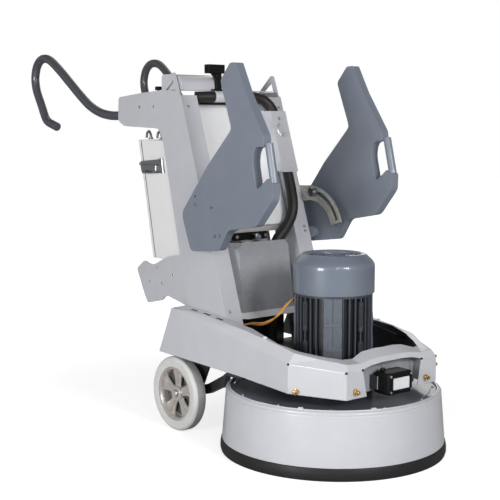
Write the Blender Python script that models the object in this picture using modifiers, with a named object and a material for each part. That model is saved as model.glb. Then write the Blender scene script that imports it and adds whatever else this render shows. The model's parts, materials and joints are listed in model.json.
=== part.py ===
"""Walk-behind planetary concrete grinder, built as an assembly of separate parts.

Metres, +Z up, standing on z = 0. The grinding head faces -Y and the operator stands at +Y.
Every part is drawn in the head's own frame, whose Z axis is the motor's axis, and the whole
assembly then hangs from one empty that centres it over the origin.
"""

from math import asin, atan2, cos, degrees, pi, radians, sin, tau

import bmesh
import bpy
from mathutils import Matrix, Vector

GAP = 0.0003                    # clearance between parts that touch

# Grinding head
SKIRT_RADIUS = 0.3504
SKIRT_HEIGHT = 0.0375
SHROUD_FOOT_RADIUS = 0.345
SHROUD_TOP_RADIUS = 0.333
SHROUD_HEIGHT = 0.200
DECK_RADIUS = 0.3175
DECK_TOP = 0.1965
DRUM_RADIUS = 0.300
DRUM_FLOOR = 0.080
SATELLITE_COUNT = 3
SATELLITE_ORBIT = 0.170
TOOL_RADIUS = 0.120
TOOL_CLEARANCE = 0.002          # tools over the floor with the skirt down
PULLEY_LEVEL = 0.140            # middle of the drive belt
PULLEY_RADIUS = 0.045
MOTOR_PULLEY_RADIUS = 0.034
BELT_HEIGHT = 0.018
BELT_THICKNESS = 0.004

# Motor
MOTOR_FOOT = 0.250
MOTOR_TOP = 0.4915
FIN_RADIUS = 0.1205
FIN_ROOT_RADIUS = 0.106
FIN_COUNT = 34
PAD_TURN = -45                  # degrees from the front to the motor's first mounting pad
COWL_RADIUS = 0.1255
COWL_SHOULDER = 0.580
COWL_TOP = 0.610
COWL_TOP_RADIUS = 0.095
SHAFT_RADIUS = 0.014
ROTOR_RADIUS = 0.066

# Chassis and columns
FRAME_TOP = 0.2365
FRAME_THICKNESS = 0.010
HOOD_HALF_WIDTH = 0.270
HOOD_FRONT = -0.252
HOOD_OPENING_RADIUS = 0.243
SHEET = 0.003
COLUMN_HALF_WIDTH = 0.215
COLUMN_SHEET = 0.004
COLUMN_TOP = 1.097
COLUMN_FLANGE = 0.065
ARM_TOP_REAR = 1.095

# Wheels
WHEEL_RADIUS = 0.1227
WHEEL_WIDTH = 0.048
WHEEL_OUTER_X = 0.276
WHEEL_Y = 0.465
AXLE_RADIUS = 0.012
RIM_RADIUS = 0.088

# Swinging weights
WEIGHT_OUTER_X = 0.2676
WEIGHT_THICKNESS = 0.030
WEIGHT_PIVOT = (0.345, 0.635)   # y, z
SLOT_RADIUS = 0.140             # arc slot round the pivot
SLOT_START = 102                # degrees from +Y, where the pin rests
WEIGHT_SWING = 54
RIGHT_WEIGHT_LEAN = 2.0         # the right weight rests a little further back

# Handle
HANDLE_PIVOT = (0.825, 1.035)   # y, z
HANDLE_RADIUS = 0.0158
HANDLE_REAR = 1.4055

# Hose and cable
HOSE_RADIUS = 0.018
CABLE_RADIUS = 0.006

# The whole machine is centred over the origin, from the skirt's front to the handle's rear.
HEAD_Y = -(HANDLE_REAR - SKIRT_RADIUS) / 2

COLOURS = {
    "light_grey": (0.52, 0.53, 0.56, 1),
    "column_grey": (0.44, 0.45, 0.48, 1),
    "shroud_grey": (0.60, 0.61, 0.64, 1),
    "weight_grey": (0.21, 0.25, 0.30, 1),
    "motor_grey": (0.20, 0.24, 0.29, 1),
    "dark_steel": (0.06, 0.06, 0.07, 1),
    "black": (0.02, 0.02, 0.02, 1),
    "tyre": (0.58, 0.59, 0.59, 1),
    "aluminium": (0.50, 0.46, 0.42, 1),
    "steel": (0.45, 0.46, 0.47, 1),
    "brass": (0.60, 0.42, 0.18, 1),
    "white": (0.80, 0.80, 0.80, 1),
    "orange": (0.80, 0.30, 0.04, 1),
    "red": (0.55, 0.02, 0.02, 1),
    "green": (0.03, 0.30, 0.06, 1),
    "glass": (0.85, 0.87, 0.90, 1),
}
ROUGHNESS = {"steel": 0.3, "aluminium": 0.35, "brass": 0.3, "glass": 0.1, "black": 0.6, "tyre": 0.7}
METALS = ("steel", "aluminium", "brass")


def clear_scene():
    for obj in list(bpy.data.objects):
        bpy.data.objects.remove(obj, do_unlink=True)


clear_scene()
PARTS = bpy.data.collections.new("concrete_grinder")
bpy.context.scene.collection.children.link(PARTS)


# ---------------------------------------------------------------- tools

def part_material(part, colour):
    """One Principled material for each part."""
    material = bpy.data.materials.new(part + "_material")
    material.use_nodes = True
    shader = material.node_tree.nodes["Principled BSDF"]
    shader.inputs["Base Color"].default_value = COLOURS[colour]
    shader.inputs["Roughness"].default_value = ROUGHNESS.get(colour, 0.45)
    shader.inputs["Metallic"].default_value = 1.0 if colour in METALS else 0.0
    return material


def new_object(name, data):
    obj = bpy.data.objects.new(name, data)
    PARTS.objects.link(obj)
    return obj


def baked(obj, modifier=None):
    """Freeze an object's modifiers and placing into a plain mesh in the head's frame."""
    bpy.context.view_layer.update()
    graph = bpy.context.evaluated_depsgraph_get()
    mesh = bpy.data.meshes.new_from_object(obj.evaluated_get(graph))
    mesh.transform(obj.matrix_world)
    welder = bmesh.new()
    welder.from_mesh(mesh)
    bmesh.ops.remove_doubles(welder, verts=welder.verts, dist=0.00002)
    welder.to_mesh(mesh)
    welder.free()
    name = obj.name
    bpy.data.objects.remove(obj, do_unlink=True)
    return new_object(name, mesh)


def combine(base, others, operation):
    """Unite the base with the others, or cut them from it, and drop them."""
    for other in others:
        modifier = base.modifiers.new("combine", "BOOLEAN")
        modifier.operation = operation
        modifier.object = other
        modifier.solver = "EXACT"
        base = baked(base)
        bpy.data.objects.remove(other, do_unlink=True)
    return base


def unite(base, *others):
    return combine(base, others, "UNION")


def cut(base, *others):
    return combine(base, others, "DIFFERENCE")


def bevelled(obj, width, segments=1):
    modifier = obj.modifiers.new("bevel", "BEVEL")
    modifier.width = width
    modifier.segments = segments
    modifier.limit_method = "ANGLE"
    modifier.angle_limit = radians(40)
    return baked(obj)


def box(name, low, high):
    """A box between two corners."""
    mesh = bpy.data.meshes.new(name)
    builder = bmesh.new()
    bmesh.ops.create_cube(builder, size=1.0)
    size = Vector(high) - Vector(low)
    middle = (Vector(high) + Vector(low)) / 2
    bmesh.ops.transform(builder, matrix=Matrix.Translation(middle) @ Matrix.Diagonal(size.to_4d()),
                        verts=builder.verts)
    builder.to_mesh(mesh)
    builder.free()
    return new_object(name, mesh)


def cylinder(name, start, end, radius, segments=24, end_radius=None):
    """A cylinder or a cone from one point to another."""
    start, end = Vector(start), Vector(end)
    mesh = bpy.data.meshes.new(name)
    builder = bmesh.new()
    bmesh.ops.create_cone(builder, cap_ends=True, segments=segments, radius1=radius,
                          radius2=radius if end_radius is None else end_radius,
                          depth=(end - start).length)
    turn = (end - start).to_track_quat("Z", "Y").to_matrix().to_4x4()
    bmesh.ops.transform(builder, matrix=Matrix.Translation((start + end) / 2) @ turn,
                        verts=builder.verts)
    builder.to_mesh(mesh)
    builder.free()
    return new_object(name, mesh)


def rounded(corners, radius, steps=3):
    """An outline with each corner rounded off, or left sharp where its radius is 0."""
    points = []
    count = len(corners)
    for index, corner in enumerate(corners):
        size = radius[index] if isinstance(radius, (list, tuple)) else radius
        here = Vector(corner)
        before = Vector(corners[index - 1]) - here
        after = Vector(corners[(index + 1) % count]) - here
        reach = min(size, before.length * 0.45, after.length * 0.45)
        if reach <= 0:
            points.append(tuple(here))
            continue
        first = here + before.normalized() * reach
        last = here + after.normalized() * reach
        for step in range(steps + 1):
            t = step / steps
            points.append(tuple(first * (1 - t) ** 2 + here * 2 * t * (1 - t) + last * t ** 2))
    return points


def flat(name, outlines, thickness, matrix):
    """A flat plate: the first outline with the others as holes, as a filled 2D curve."""
    curve = bpy.data.curves.new(name, "CURVE")
    curve.dimensions = "2D"
    curve.fill_mode = "BOTH"
    curve.extrude = thickness / 2
    for outline in outlines:
        spline = curve.splines.new("POLY")
        spline.points.add(len(outline) - 1)
        for point, place in zip(spline.points, outline):
            point.co = (place[0], place[1], 0, 1)
        spline.use_cyclic_u = True
    obj = new_object(name, curve)
    obj.matrix_world = matrix
    return baked(obj)


SIDE_ON = Matrix(((0, 0, 1, 0), (1, 0, 0, 0), (0, 1, 0, 0), (0, 0, 0, 1)))
FRONT_ON = Matrix(((1, 0, 0, 0), (0, 0, -1, 0), (0, 1, 0, 0), (0, 0, 0, 1)))


def side_plate(name, outlines, x_from, x_to):
    """A plate lying in a Y-Z plane, between two X values."""
    middle = (x_from + x_to) / 2
    return flat(name, outlines, abs(x_to - x_from), Matrix.Translation((middle, 0, 0)) @ SIDE_ON)


def front_plate(name, outlines, y_from, y_to):
    """A plate lying in an X-Z plane, between two Y values."""
    middle = (y_from + y_to) / 2
    return flat(name, outlines, abs(y_to - y_from), Matrix.Translation((0, middle, 0)) @ FRONT_ON)


def level_plate(name, outlines, z_from, z_to):
    """A plate lying in an X-Y plane, between two Z values."""
    return flat(name, outlines, abs(z_to - z_from), Matrix.Translation((0, 0, (z_from + z_to) / 2)))


def circle(radius, segments, centre=(0, 0)):
    return [(centre[0] + radius * cos(tau * i / segments), centre[1] + radius * sin(tau * i / segments))
            for i in range(segments)]


def arc(radius, start, end, steps, centre=(0, 0)):
    """Points along an arc, its angles in degrees."""
    return [(centre[0] + radius * cos(radians(start + (end - start) * i / steps)),
             centre[1] + radius * sin(radians(start + (end - start) * i / steps)))
            for i in range(steps + 1)]


def turned(name, profile, segments, closed=True):
    """A profile of (radius, height) points turned round Z with a Screw modifier."""
    mesh = bpy.data.meshes.new(name)
    points = [(radius, 0, height) for radius, height in profile]
    edges = [(i, i + 1) for i in range(len(points) - 1)]
    if closed:
        edges.append((len(points) - 1, 0))
    mesh.from_pydata(points, edges, [])
    obj = new_object(name, mesh)
    screw = obj.modifiers.new("screw", "SCREW")
    screw.steps = segments
    screw.render_steps = segments
    screw.use_merge_vertices = True
    screw.merge_threshold = 0.00005
    screw.use_smooth_shade = False
    return baked(obj)


def ring(name, inner, outer, low, high, segments):
    """A plain ring."""
    return turned(name, [(outer, high), (outer, low), (inner, low), (inner, high)], segments)


def tube(name, points, radius, resolution=3):
    """A round bar or hose along a list of points."""
    curve = bpy.data.curves.new(name, "CURVE")
    curve.dimensions = "3D"
    curve.bevel_depth = radius
    curve.bevel_resolution = resolution
    curve.use_fill_caps = True
    spline = curve.splines.new("POLY")
    spline.points.add(len(points) - 1)
    for point, place in zip(spline.points, points):
        point.co = (*place, 1)
    return baked(new_object(name, curve))


def smooth_route(knots, steps):
    """Points of a smooth curve through the knots."""
    places = [Vector(knot) for knot in knots]
    places = [2 * places[0] - places[1]] + places + [2 * places[-1] - places[-2]]
    route = []
    for index in range(1, len(places) - 2):
        before, here, there, after = places[index - 1:index + 3]
        for step in range(steps):
            t = step / steps
            route.append(0.5 * (2 * here + (there - before) * t
                                + (2 * before - 5 * here + 4 * there - after) * t ** 2
                                + (3 * here - before - 3 * there + after) * t ** 3))
    route.append(places[-2])
    return [tuple(place) for place in route]


def sheet(name, rows, thickness, opening=()):
    """A bent sheet lofted between rows of points, less the cells named as its opening.

    The thickness goes to the side away from the viewer who sees the rows run left to right
    and upwards. A cell is (row, column), counted from the first row and its left end.
    """
    mesh = bpy.data.meshes.new(name)
    count = len(rows[0])
    points = [point for row in rows for point in row]
    faces = []
    for row in range(len(rows) - 1):
        for column in range(count - 1):
            if (row, column) in opening:
                continue
            faces.append((row * count + column, row * count + column + 1,
                          (row + 1) * count + column + 1, (row + 1) * count + column))
    mesh.from_pydata(points, [], faces)
    builder = bmesh.new()
    builder.from_mesh(mesh)
    loose = [vertex for vertex in builder.verts if not vertex.link_faces]
    bmesh.ops.delete(builder, geom=loose, context="VERTS")
    builder.to_mesh(mesh)
    builder.free()
    obj = new_object(name, mesh)
    solid = obj.modifiers.new("thickness", "SOLIDIFY")
    solid.thickness = thickness
    solid.offset = -1
    solid.use_even_offset = True
    return baked(obj)


def finish(obj, name, colour, pivot=(0, 0, 0), smooth=True):
    """Name a part, put its origin on its joint and give it its material."""
    obj.name = name
    obj.data.name = name
    obj.data.transform(Matrix.Translation(-Vector(pivot)))
    obj.location = pivot
    obj.parent = ASSEMBLY
    obj.data.materials.clear()
    obj.data.materials.append(part_material(name, colour))
    if smooth:
        obj.data.shade_smooth()
        obj.data.set_sharp_from_angle(angle=radians(35))
    return obj


ASSEMBLY = bpy.data.objects.new("assembly", None)
bpy.context.scene.collection.objects.link(ASSEMBLY)
ASSEMBLY.location = (0, HEAD_Y, 0)
SIDES = (("left", -1), ("right", 1))


def column_front(z):
    """Y of the columns' sloping front edge at a height."""
    return 0.497 - (COLUMN_TOP - z) * 0.333


def column_rear(z):
    """Y of the columns' sloping rear edge at a height."""
    return 0.51 + (z - 0.587) * 0.2456


# ---------------------------------------------------------------- grinding head

def shroud():
    foot = SKIRT_HEIGHT + GAP
    outer = [(DECK_RADIUS + 0.001, SHROUD_HEIGHT), (0.3245, SHROUD_HEIGHT), (SHROUD_TOP_RADIUS - 0.002, 0.192),
             (SHROUD_TOP_RADIUS, 0.179), (SHROUD_FOOT_RADIUS, foot), (SHROUD_FOOT_RADIUS - 0.006, foot)]
    inner = [(SHROUD_TOP_RADIUS - 0.006, 0.179), (DECK_RADIUS + 0.001, 0.193)]
    finish(turned("shroud", outer + inner, 56), "shroud_ring", "shroud_grey")
    skirt = turned("skirt", [(SKIRT_RADIUS - 0.001, SKIRT_HEIGHT), (SKIRT_RADIUS, 0.0),
                             (0.338, 0.0), (0.338, SKIRT_HEIGHT)], 56)
    finish(skirt, "rubber_skirt", "black")
    under = DECK_TOP - 0.006
    deck = [(DECK_RADIUS, DECK_TOP), (DECK_RADIUS, under), (0.2835, under), (0.2835, 0.150), (0.262, 0.150),
            (0.262, under), (0.060, under), (0.060, DECK_TOP)]
    finish(turned("deck", deck, 40), "deck_plate", "dark_steel")


def housing():
    profile = [(0.160, MOTOR_FOOT - GAP), (0.160, FRAME_TOP + GAP), (0.120, FRAME_TOP + GAP),
               (0.120, DECK_TOP + GAP), (0.052, DECK_TOP + GAP), (0.052, MOTOR_FOOT - GAP)]
    finish(turned("housing", profile, 28), "head_housing", "dark_steel")


def satellite_centre(index):
    angle = radians(90) + tau * index / SATELLITE_COUNT
    return (SATELLITE_ORBIT * cos(angle), SATELLITE_ORBIT * sin(angle))


def planetary_drum():
    floor, top = DRUM_FLOOR, DECK_TOP - 0.008
    profile = [(DRUM_RADIUS, top), (DRUM_RADIUS, floor), (0.030, floor), (0.030, floor + 0.010),
               (0.285, floor + 0.010), (0.285, top)]
    drum = turned("drum", profile, 40)
    holes = []
    for index in range(SATELLITE_COUNT):
        x, y = satellite_centre(index)
        holes.append(cylinder("hole", (x, y, floor - 0.01), (x, y, floor + 0.02), 0.0265, 16))
    finish(cut(drum, *holes), "planetary_drum", "steel")


def satellites():
    for index in range(SATELLITE_COUNT):
        x, y = satellite_centre(index)
        spindle = turned("spindle", [
            (0.0, PULLEY_LEVEL + 0.018), (0.018, PULLEY_LEVEL + 0.018), (0.018, PULLEY_LEVEL + 0.011),
            (PULLEY_RADIUS, PULLEY_LEVEL + 0.011), (PULLEY_RADIUS, PULLEY_LEVEL - 0.011),
            (0.025, PULLEY_LEVEL - 0.011), (0.025, DRUM_FLOOR - 0.006), (0.080, DRUM_FLOOR - 0.006),
            (0.080, DRUM_FLOOR - 0.022), (0.035, DRUM_FLOOR - 0.030), (0.0, DRUM_FLOOR - 0.030)],
            20, closed=False)
        spindle.data.transform(Matrix.Translation((x, y, 0)))
        finish(spindle, f"satellite_{index + 1}", "steel", (x, y, 0))
        tool = turned("tool", [
            (0.030, 0.0495), (0.112, 0.0495), (TOOL_RADIUS, 0.044), (TOOL_RADIUS, 0.012), (0.030, 0.012)], 24)
        segments = []
        for step in range(3):
            angle = tau * step / 3
            pad = box("pad", (0.074, -0.020, TOOL_CLEARANCE), (0.114, 0.020, 0.014))
            pad.data.transform(Matrix.Rotation(angle, 4, "Z"))
            segments.append(pad)
        tool = unite(tool, *segments)
        tool.data.transform(Matrix.Translation((x, y, 0)))
        finish(tool, f"tool_plate_{index + 1}", "dark_steel", (x, y, 0))


def belt_path(wheels):
    """The belt's centre line round a list of (centre, radius, turning sense)."""
    path = []
    count = len(wheels)
    leaving = []
    arriving = [None] * count
    for index in range(count):
        (ax, ay), a_radius, a_turn = wheels[index]
        (bx, by), b_radius, b_turn = wheels[(index + 1) % count]
        span = Vector((bx - ax, by - ay))
        heading = atan2(span.y, span.x) - asin((b_turn * b_radius - a_turn * a_radius) / span.length)
        normal = Vector((-sin(heading), cos(heading)))
        leaving.append(Vector((ax, ay)) - normal * a_turn * a_radius)
        arriving[(index + 1) % count] = Vector((bx, by)) - normal * b_turn * b_radius
    for index, ((x, y), radius, turn) in enumerate(wheels):
        centre = Vector((x, y))
        start = atan2(*reversed(arriving[index] - centre))
        sweep = (atan2(*reversed(leaving[index] - centre)) - start) * turn % tau * turn
        steps = round(abs(sweep) / radians(15))
        path += arc(radius, degrees(start), degrees(start + sweep), steps, (x, y))
    return path


def drive_belt():
    """The belt runs round the three satellites and its back wraps the motor pulley."""
    half = BELT_THICKNESS / 2 + 0.0008
    wheels = [(satellite_centre(index), PULLEY_RADIUS + half, 1) for index in range(SATELLITE_COUNT)]
    wheels.append(((0, 0), MOTOR_PULLEY_RADIUS + half, -1))
    path = belt_path(wheels)
    low, high = PULLEY_LEVEL - BELT_HEIGHT / 2, PULLEY_LEVEL + BELT_HEIGHT / 2
    rows = [[(x, y, low) for x, y in path], [(x, y, high) for x, y in path]]
    mesh = bpy.data.meshes.new("belt")
    count = len(path)
    faces = [(i, (i + 1) % count, count + (i + 1) % count, count + i) for i in range(count)]
    mesh.from_pydata(rows[0] + rows[1], [], faces)
    belt = new_object("belt", mesh)
    solid = belt.modifiers.new("thickness", "SOLIDIFY")
    solid.thickness = BELT_THICKNESS
    solid.offset = 0
    finish(baked(belt), "drive_belt", "black")


# ---------------------------------------------------------------- motor

def motor_outline():
    """The finned casing's section with two opposite flat pads, before its turn on the flange."""
    pitch = tau / FIN_COUNT
    half_fin = 0.0016 / FIN_RADIUS
    right, left = [], []
    for index in range(FIN_COUNT):
        angle = -pi / 2 + pitch * (index + 0.5)
        if abs(cos(angle)) * FIN_RADIUS < 0.036:
            continue
        fin = [(radius * cos(angle + offset), radius * sin(angle + offset))
               for radius, offset in ((FIN_ROOT_RADIUS, -half_fin * 1.3), (FIN_RADIUS, -half_fin),
                                      (FIN_RADIUS, half_fin), (FIN_ROOT_RADIUS, half_fin * 1.3))]
        side = right if cos(angle) > 0 else left
        side += fin
    root = FIN_ROOT_RADIUS * 0.96
    pad = [(0.029, root), (0.029, FIN_RADIUS), (-0.029, FIN_RADIUS), (-0.029, root)]
    return right + pad + left + [(-x, -y) for x, y in pad]


def motor():
    bore = circle(0.0675, 24)
    casing = level_plate("casing", [motor_outline(), bore], MOTOR_FOOT + 0.014, MOTOR_TOP)
    casing.data.transform(Matrix.Rotation(radians(PAD_TURN), 4, "Z"))
    flange = ring("flange", 0.0665, 0.150, MOTOR_FOOT, MOTOR_FOOT + 0.016, 28)
    finish(unite(casing, flange), "motor_casing", "dark_steel")
    rotor = turned("rotor", [
        (0.0, 0.556), (SHAFT_RADIUS, 0.556), (SHAFT_RADIUS, 0.455), (ROTOR_RADIUS, 0.455),
        (ROTOR_RADIUS, 0.300), (SHAFT_RADIUS, 0.300), (SHAFT_RADIUS, PULLEY_LEVEL + 0.011),
        (MOTOR_PULLEY_RADIUS, PULLEY_LEVEL + 0.011), (MOTOR_PULLEY_RADIUS, PULLEY_LEVEL - 0.011),
        (0.0, PULLEY_LEVEL - 0.011)], 20, closed=False)
    finish(rotor, "motor_rotor", "steel")
    blades = []
    for index in range(7):
        angle = tau * index / 7
        for radius, offset in ((0.030, -0.09), (0.098, -0.03), (0.098, 0.03), (0.030, 0.09)):
            blades.append((radius * cos(angle + offset), radius * sin(angle + offset)))
    fan = level_plate("fan", [blades, circle(SHAFT_RADIUS + 0.0006, 20)], 0.505, 0.545)
    finish(fan, "cooling_fan", "black")
    low = MOTOR_TOP + GAP
    outer = [(0.0, COWL_TOP - 0.004), (0.084, COWL_TOP - 0.004), (0.086, COWL_TOP), (COWL_TOP_RADIUS, COWL_TOP),
             (0.116, 0.595), (COWL_RADIUS, COWL_SHOULDER), (COWL_RADIUS, low)]
    inner = [(COWL_RADIUS - 0.003, low), (COWL_RADIUS - 0.003, COWL_SHOULDER - 0.001), (0.094, 0.602), (0.0, 0.602)]
    cowl = turned("cowl", outer + inner, 30, closed=False)
    slots = []
    for index in range(6):
        slot = box("slot", (0.030, -0.009, 0.59), (0.076, 0.009, 0.62))
        slot.data.transform(Matrix.Rotation(tau * (index + 0.5) / 6, 4, "Z"))
        slots.append(slot)
    finish(cut(cowl, *slots), "fan_cowl", "motor_grey")
    terminal = bevelled(box("terminal", (-0.048, FIN_RADIUS + GAP, 0.384), (0.048, 0.178, 0.478)), 0.005)
    terminal.data.transform(Matrix.Rotation(radians(PAD_TURN), 4, "Z"))
    finish(terminal, "terminal_box", "dark_steel")


CABLE_KNOTS = [
    (0.0712, 0.1395, 0.452), (0.059, 0.1517, 0.452), (0.043, 0.1645, 0.452), (0.015, 0.172, 0.449),
    (-0.019, 0.171, 0.444), (-0.036, 0.181, 0.426), (-0.0434, 0.200, 0.402), (-0.047, 0.235, 0.375),
    (-0.059, 0.270, 0.358), (-0.080, 0.308, 0.356), (-0.100, 0.338, 0.342), (-0.107, 0.350, 0.310),
    (-0.108, 0.352, 0.280), (-0.108, 0.352, 0.255), (-0.108, 0.352, FRAME_TOP + GAP)]


def motor_cable():
    """The motor's lead, from the side of its terminal box to the frame behind the cover."""
    finish(tube("cable", smooth_route(CABLE_KNOTS, 2), CABLE_RADIUS, 1), "motor_cable", "orange")


# ---------------------------------------------------------------- chassis

def chassis_frame():
    half = COLUMN_HALF_WIDTH
    outline = [(half, 0.500), (-half, 0.500), (-half, -0.060), (-0.135, -0.212), (0.135, -0.212), (half, -0.060)]
    low = FRAME_TOP - FRAME_THICKNESS
    frame = level_plate("frame", [outline, circle(0.1215, 32)], low, FRAME_TOP)
    parts = [front_plate("recess", [[(-0.125, low), (0.125, low), (0.118, 0.305), (-0.118, 0.305)]],
                         -0.213, -0.207)]
    for _, side in SIDES:
        bracket = [(0.360, low + 0.004), (0.492, low + 0.004), (0.492, 0.105), (0.440, 0.105), (0.400, 0.150)]
        parts.append(side_plate("bracket", [rounded(bracket, [0, 0, 0.02, 0.02, 0.02])],
                                side * 0.198, side * 0.206))
        arm = [(0.455, 0.112), (0.455, 0.138), (0.380, 0.160), (0.300, 0.202), (0.262, low + 0.003),
               (0.200, low + 0.003), (0.200, 0.205), (0.284, 0.205), (0.296, 0.168), (0.380, 0.127)]
        parts.append(side_plate("link", [arm], side * 0.176, side * 0.199))
        parts.append(box("ear", (side * 0.054, -0.244, 0.236), (side * 0.058, -0.210, 0.276)))
    between = half - COLUMN_SHEET - GAP
    parts.append(box("bulkhead", (-between, 0.470, low), (between, 0.474, 0.400)))
    frame = unite(frame, *parts)
    bore = cylinder("bore", (-0.3, WHEEL_Y, WHEEL_RADIUS), (0.3, WHEEL_Y, WHEEL_RADIUS), AXLE_RADIUS + 0.0005, 16)
    finish(cut(frame, bore), "chassis_frame", "dark_steel")


def hood_side():
    """Foot, fold, shoulder and inner edge of the hood's right half, from its rear to its mouth."""
    half = HOOD_HALF_WIDTH
    return [
        ((half, 0.553, 0.251), (half, 0.478, 0.406), (0.262, 0.470, 0.410), (0.2175, 0.470, 0.411)),
        ((half, 0.330, 0.246), (half, 0.330, 0.387), (0.254, 0.330, 0.402), (0.2175, 0.330, 0.403)),
        ((half, 0.130, 0.240), (half, 0.130, 0.353), (0.251, 0.130, 0.381), (0.2175, 0.130, 0.382)),
        ((half, -0.020, 0.232), (half, -0.020, 0.328), (0.250, -0.020, 0.360), (0.2425, -0.020, 0.360)),
        ((half, -0.093, 0.228), (half, -0.093, 0.316), (0.250, -0.099, 0.346), (0.225, -0.094, 0.347)),
        ((0.230, -0.172, 0.2265), (0.230, -0.172, 0.3105), (0.213, -0.1655, 0.334), (0.191, -0.158, 0.337)),
        ((0.190, HOOD_FRONT, 0.225), (0.190, HOOD_FRONT, 0.305), (0.177, -0.242, 0.326), (0.158, -0.203, 0.332)),
        ((0.107, HOOD_FRONT, 0.225), (0.124, HOOD_FRONT, 0.305), (0.128, -0.246, 0.323), (0.130, -0.213, 0.333)),
    ]


def hood_visor():
    """The raised, facetted stretch over the lamp's recess, with no front wall."""
    stations = []
    for across, rise in ((-0.084, 0.75), (-0.042, 1.0), (0.0, 1.0), (0.042, 1.0), (0.084, 0.75)):
        rear = -(HOOD_OPENING_RADIUS ** 2 - across ** 2) ** 0.5 + 0.032 * rise
        front = HOOD_FRONT + 0.001
        foot = (across, front, 0.225)
        fold = (across, front, 0.305 + 0.012 * rise)
        shoulder = (across, front + 0.006, 0.323 + 0.009 * rise)
        stations.append((foot, fold, shoulder, (across, rear, 0.333 + 0.018 * rise)))
    return stations


def chassis_hood():
    right = hood_side()
    left = [[(-x, y, z) for x, y, z in station] for station in right]
    visor = hood_visor()
    stations = left + visor + right[::-1]
    rows = [[station[level] for station in stations] for level in range(4)]
    mouth = [(0, column) for column in range(len(left) - 1, len(left) + len(visor))]
    finish(sheet("hood", rows, SHEET, mouth), "chassis_hood", "light_grey", smooth=False)


def lamp():
    low, high = (-0.052, -0.286, 0.222), (0.052, -0.219, 0.288)
    housing_box = bevelled(box("lamp", low, high), 0.010, 2)
    window = box("window", (-0.036, -0.290, 0.237), (0.036, -0.282, 0.273))
    finish(cut(housing_box, window), "lamp_housing", "black", (0, -0.226, 0.256))
    lens = box("lens", (-0.0355, -0.2845, 0.2375), (0.0355, -0.2823, 0.2725))
    finish(lens, "lamp_lens", "glass", (0, -0.226, 0.256))


def nozzles():
    outward = Vector((0, -1, 0))
    for name, x in (("left", -0.157), ("right", 0.139)):
        start = Vector((x, HOOD_FRONT, 0.247)) + outward * GAP
        body = cylinder("body", start, start + outward * 0.009, 0.009, 6)
        stem = cylinder("stem", start + outward * 0.008, start + outward * 0.020, 0.0055, 12, 0.0035)
        finish(unite(body, stem), f"spray_nozzle_{name}", "brass")


# ---------------------------------------------------------------- columns

def strip(low, high, near, far, edge=column_front):
    """A strip that follows a column's sloping edge."""
    return [(edge(low) + near, low), (edge(high) + near, high), (edge(high) + far, high), (edge(low) + far, low)]


def column_solid():
    """The left column: a side sheet with its arm, a front flange, flanges on the arm and a lug on top."""
    foot = FRAME_TOP + GAP
    outer = -COLUMN_HALF_WIDTH
    inner = outer + COLUMN_FLANGE
    outline = [(column_front(foot), foot), (column_front(COLUMN_TOP), COLUMN_TOP), (0.614, 1.113),
               (0.705, 1.108), (0.864, ARM_TOP_REAR), (0.869, 1.014), (0.832, 0.995), (0.620, 0.987),
               (column_rear(0.945), 0.945), (column_rear(foot), foot)]
    outline = rounded(outline, [0, 0.004, 0.006, 0, 0.012, 0.012, 0.012, 0.02, 0.02, 0])
    column = side_plate("side", [outline], outer + COLUMN_SHEET, outer)
    front = strip(foot + 0.001, COLUMN_TOP - 0.002, 0.0004, COLUMN_SHEET)
    flange = side_plate("flange", [front], inner, outer + 0.001)
    back = side_plate("return", [strip(foot + 0.002, COLUMN_TOP - 0.004, 0.001, 0.056)],
                      inner - 0.0003, inner - COLUMN_SHEET)
    arm_top = [(0.600, 1.1110), (0.705, 1.1070), (0.855, 1.0948), (0.855, 1.0908), (0.705, 1.1030), (0.600, 1.1070)]
    arm_low = [(0.628, 0.9883), (0.820, 0.9956), (0.820, 0.9996), (0.628, 0.9923)]
    top = side_plate("arm_top", [arm_top], -0.172, outer + 0.001)
    low = side_plate("arm_low", [arm_low], -0.172, outer + 0.001)
    triangle = rounded([(0.500, 1.088), (0.531, 1.169), (0.544, 1.169), (0.622, 1.0985)], 0.006, 2)
    window = [(0.527, 1.110), (0.540, 1.146), (0.584, 1.112)]
    lug = side_plate("lug", [triangle, window], -0.2085, -0.2140)
    return unite(column, flange, back, top, low, lug)


def mirrored(obj, name):
    """A copy of a part in the head's frame, mirrored across the machine's middle plane."""
    mesh = obj.data.copy()
    mesh.transform(Matrix.Diagonal((-1, 1, 1, 1)))
    mesh.flip_normals()
    return new_object(name, mesh)


def columns():
    left = column_solid()
    right = mirrored(left, "right")
    finish(left, "column_left", "column_grey", smooth=False)
    finish(right, "column_right", "column_grey", smooth=False)


def console():
    """A rounded box on the left half of a strip across the columns, with a cable hook in front."""
    outline = [(0.505, 1.1138), (0.505, 1.139), (0.520, 1.156), (0.560, 1.165), (0.618, 1.165), (0.618, 1.1138)]
    body = side_plate("console", [rounded(outline, [0.002, 0.012, 0.01, 0.01, 0.01, 0.002])], -0.204, 0.055)
    strip_across = box("strip", (-0.204, 0.5052, 1.1113), (0.204, 0.535, 1.1143))
    finish(unite(body, strip_across), "cross_box", "light_grey", smooth=False)
    front = 0.505 - GAP
    stem = box("stem", (-0.070, front - 0.014, 1.114), (-0.050, front, 1.170))
    foot = box("foot", (-0.085, front - 0.020, 1.1115), (-0.047, front, 1.117))
    head = box("head", (-0.112, front - 0.026, 1.168), (-0.046, front, 1.197))
    gusset = front_plate("gusset", [[(-0.071, 1.148), (-0.069, 1.169), (-0.090, 1.169)]], front - 0.012, front - 0.002)
    finish(unite(stem, foot, head, gusset), "cable_hook", "black", smooth=False)


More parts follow.
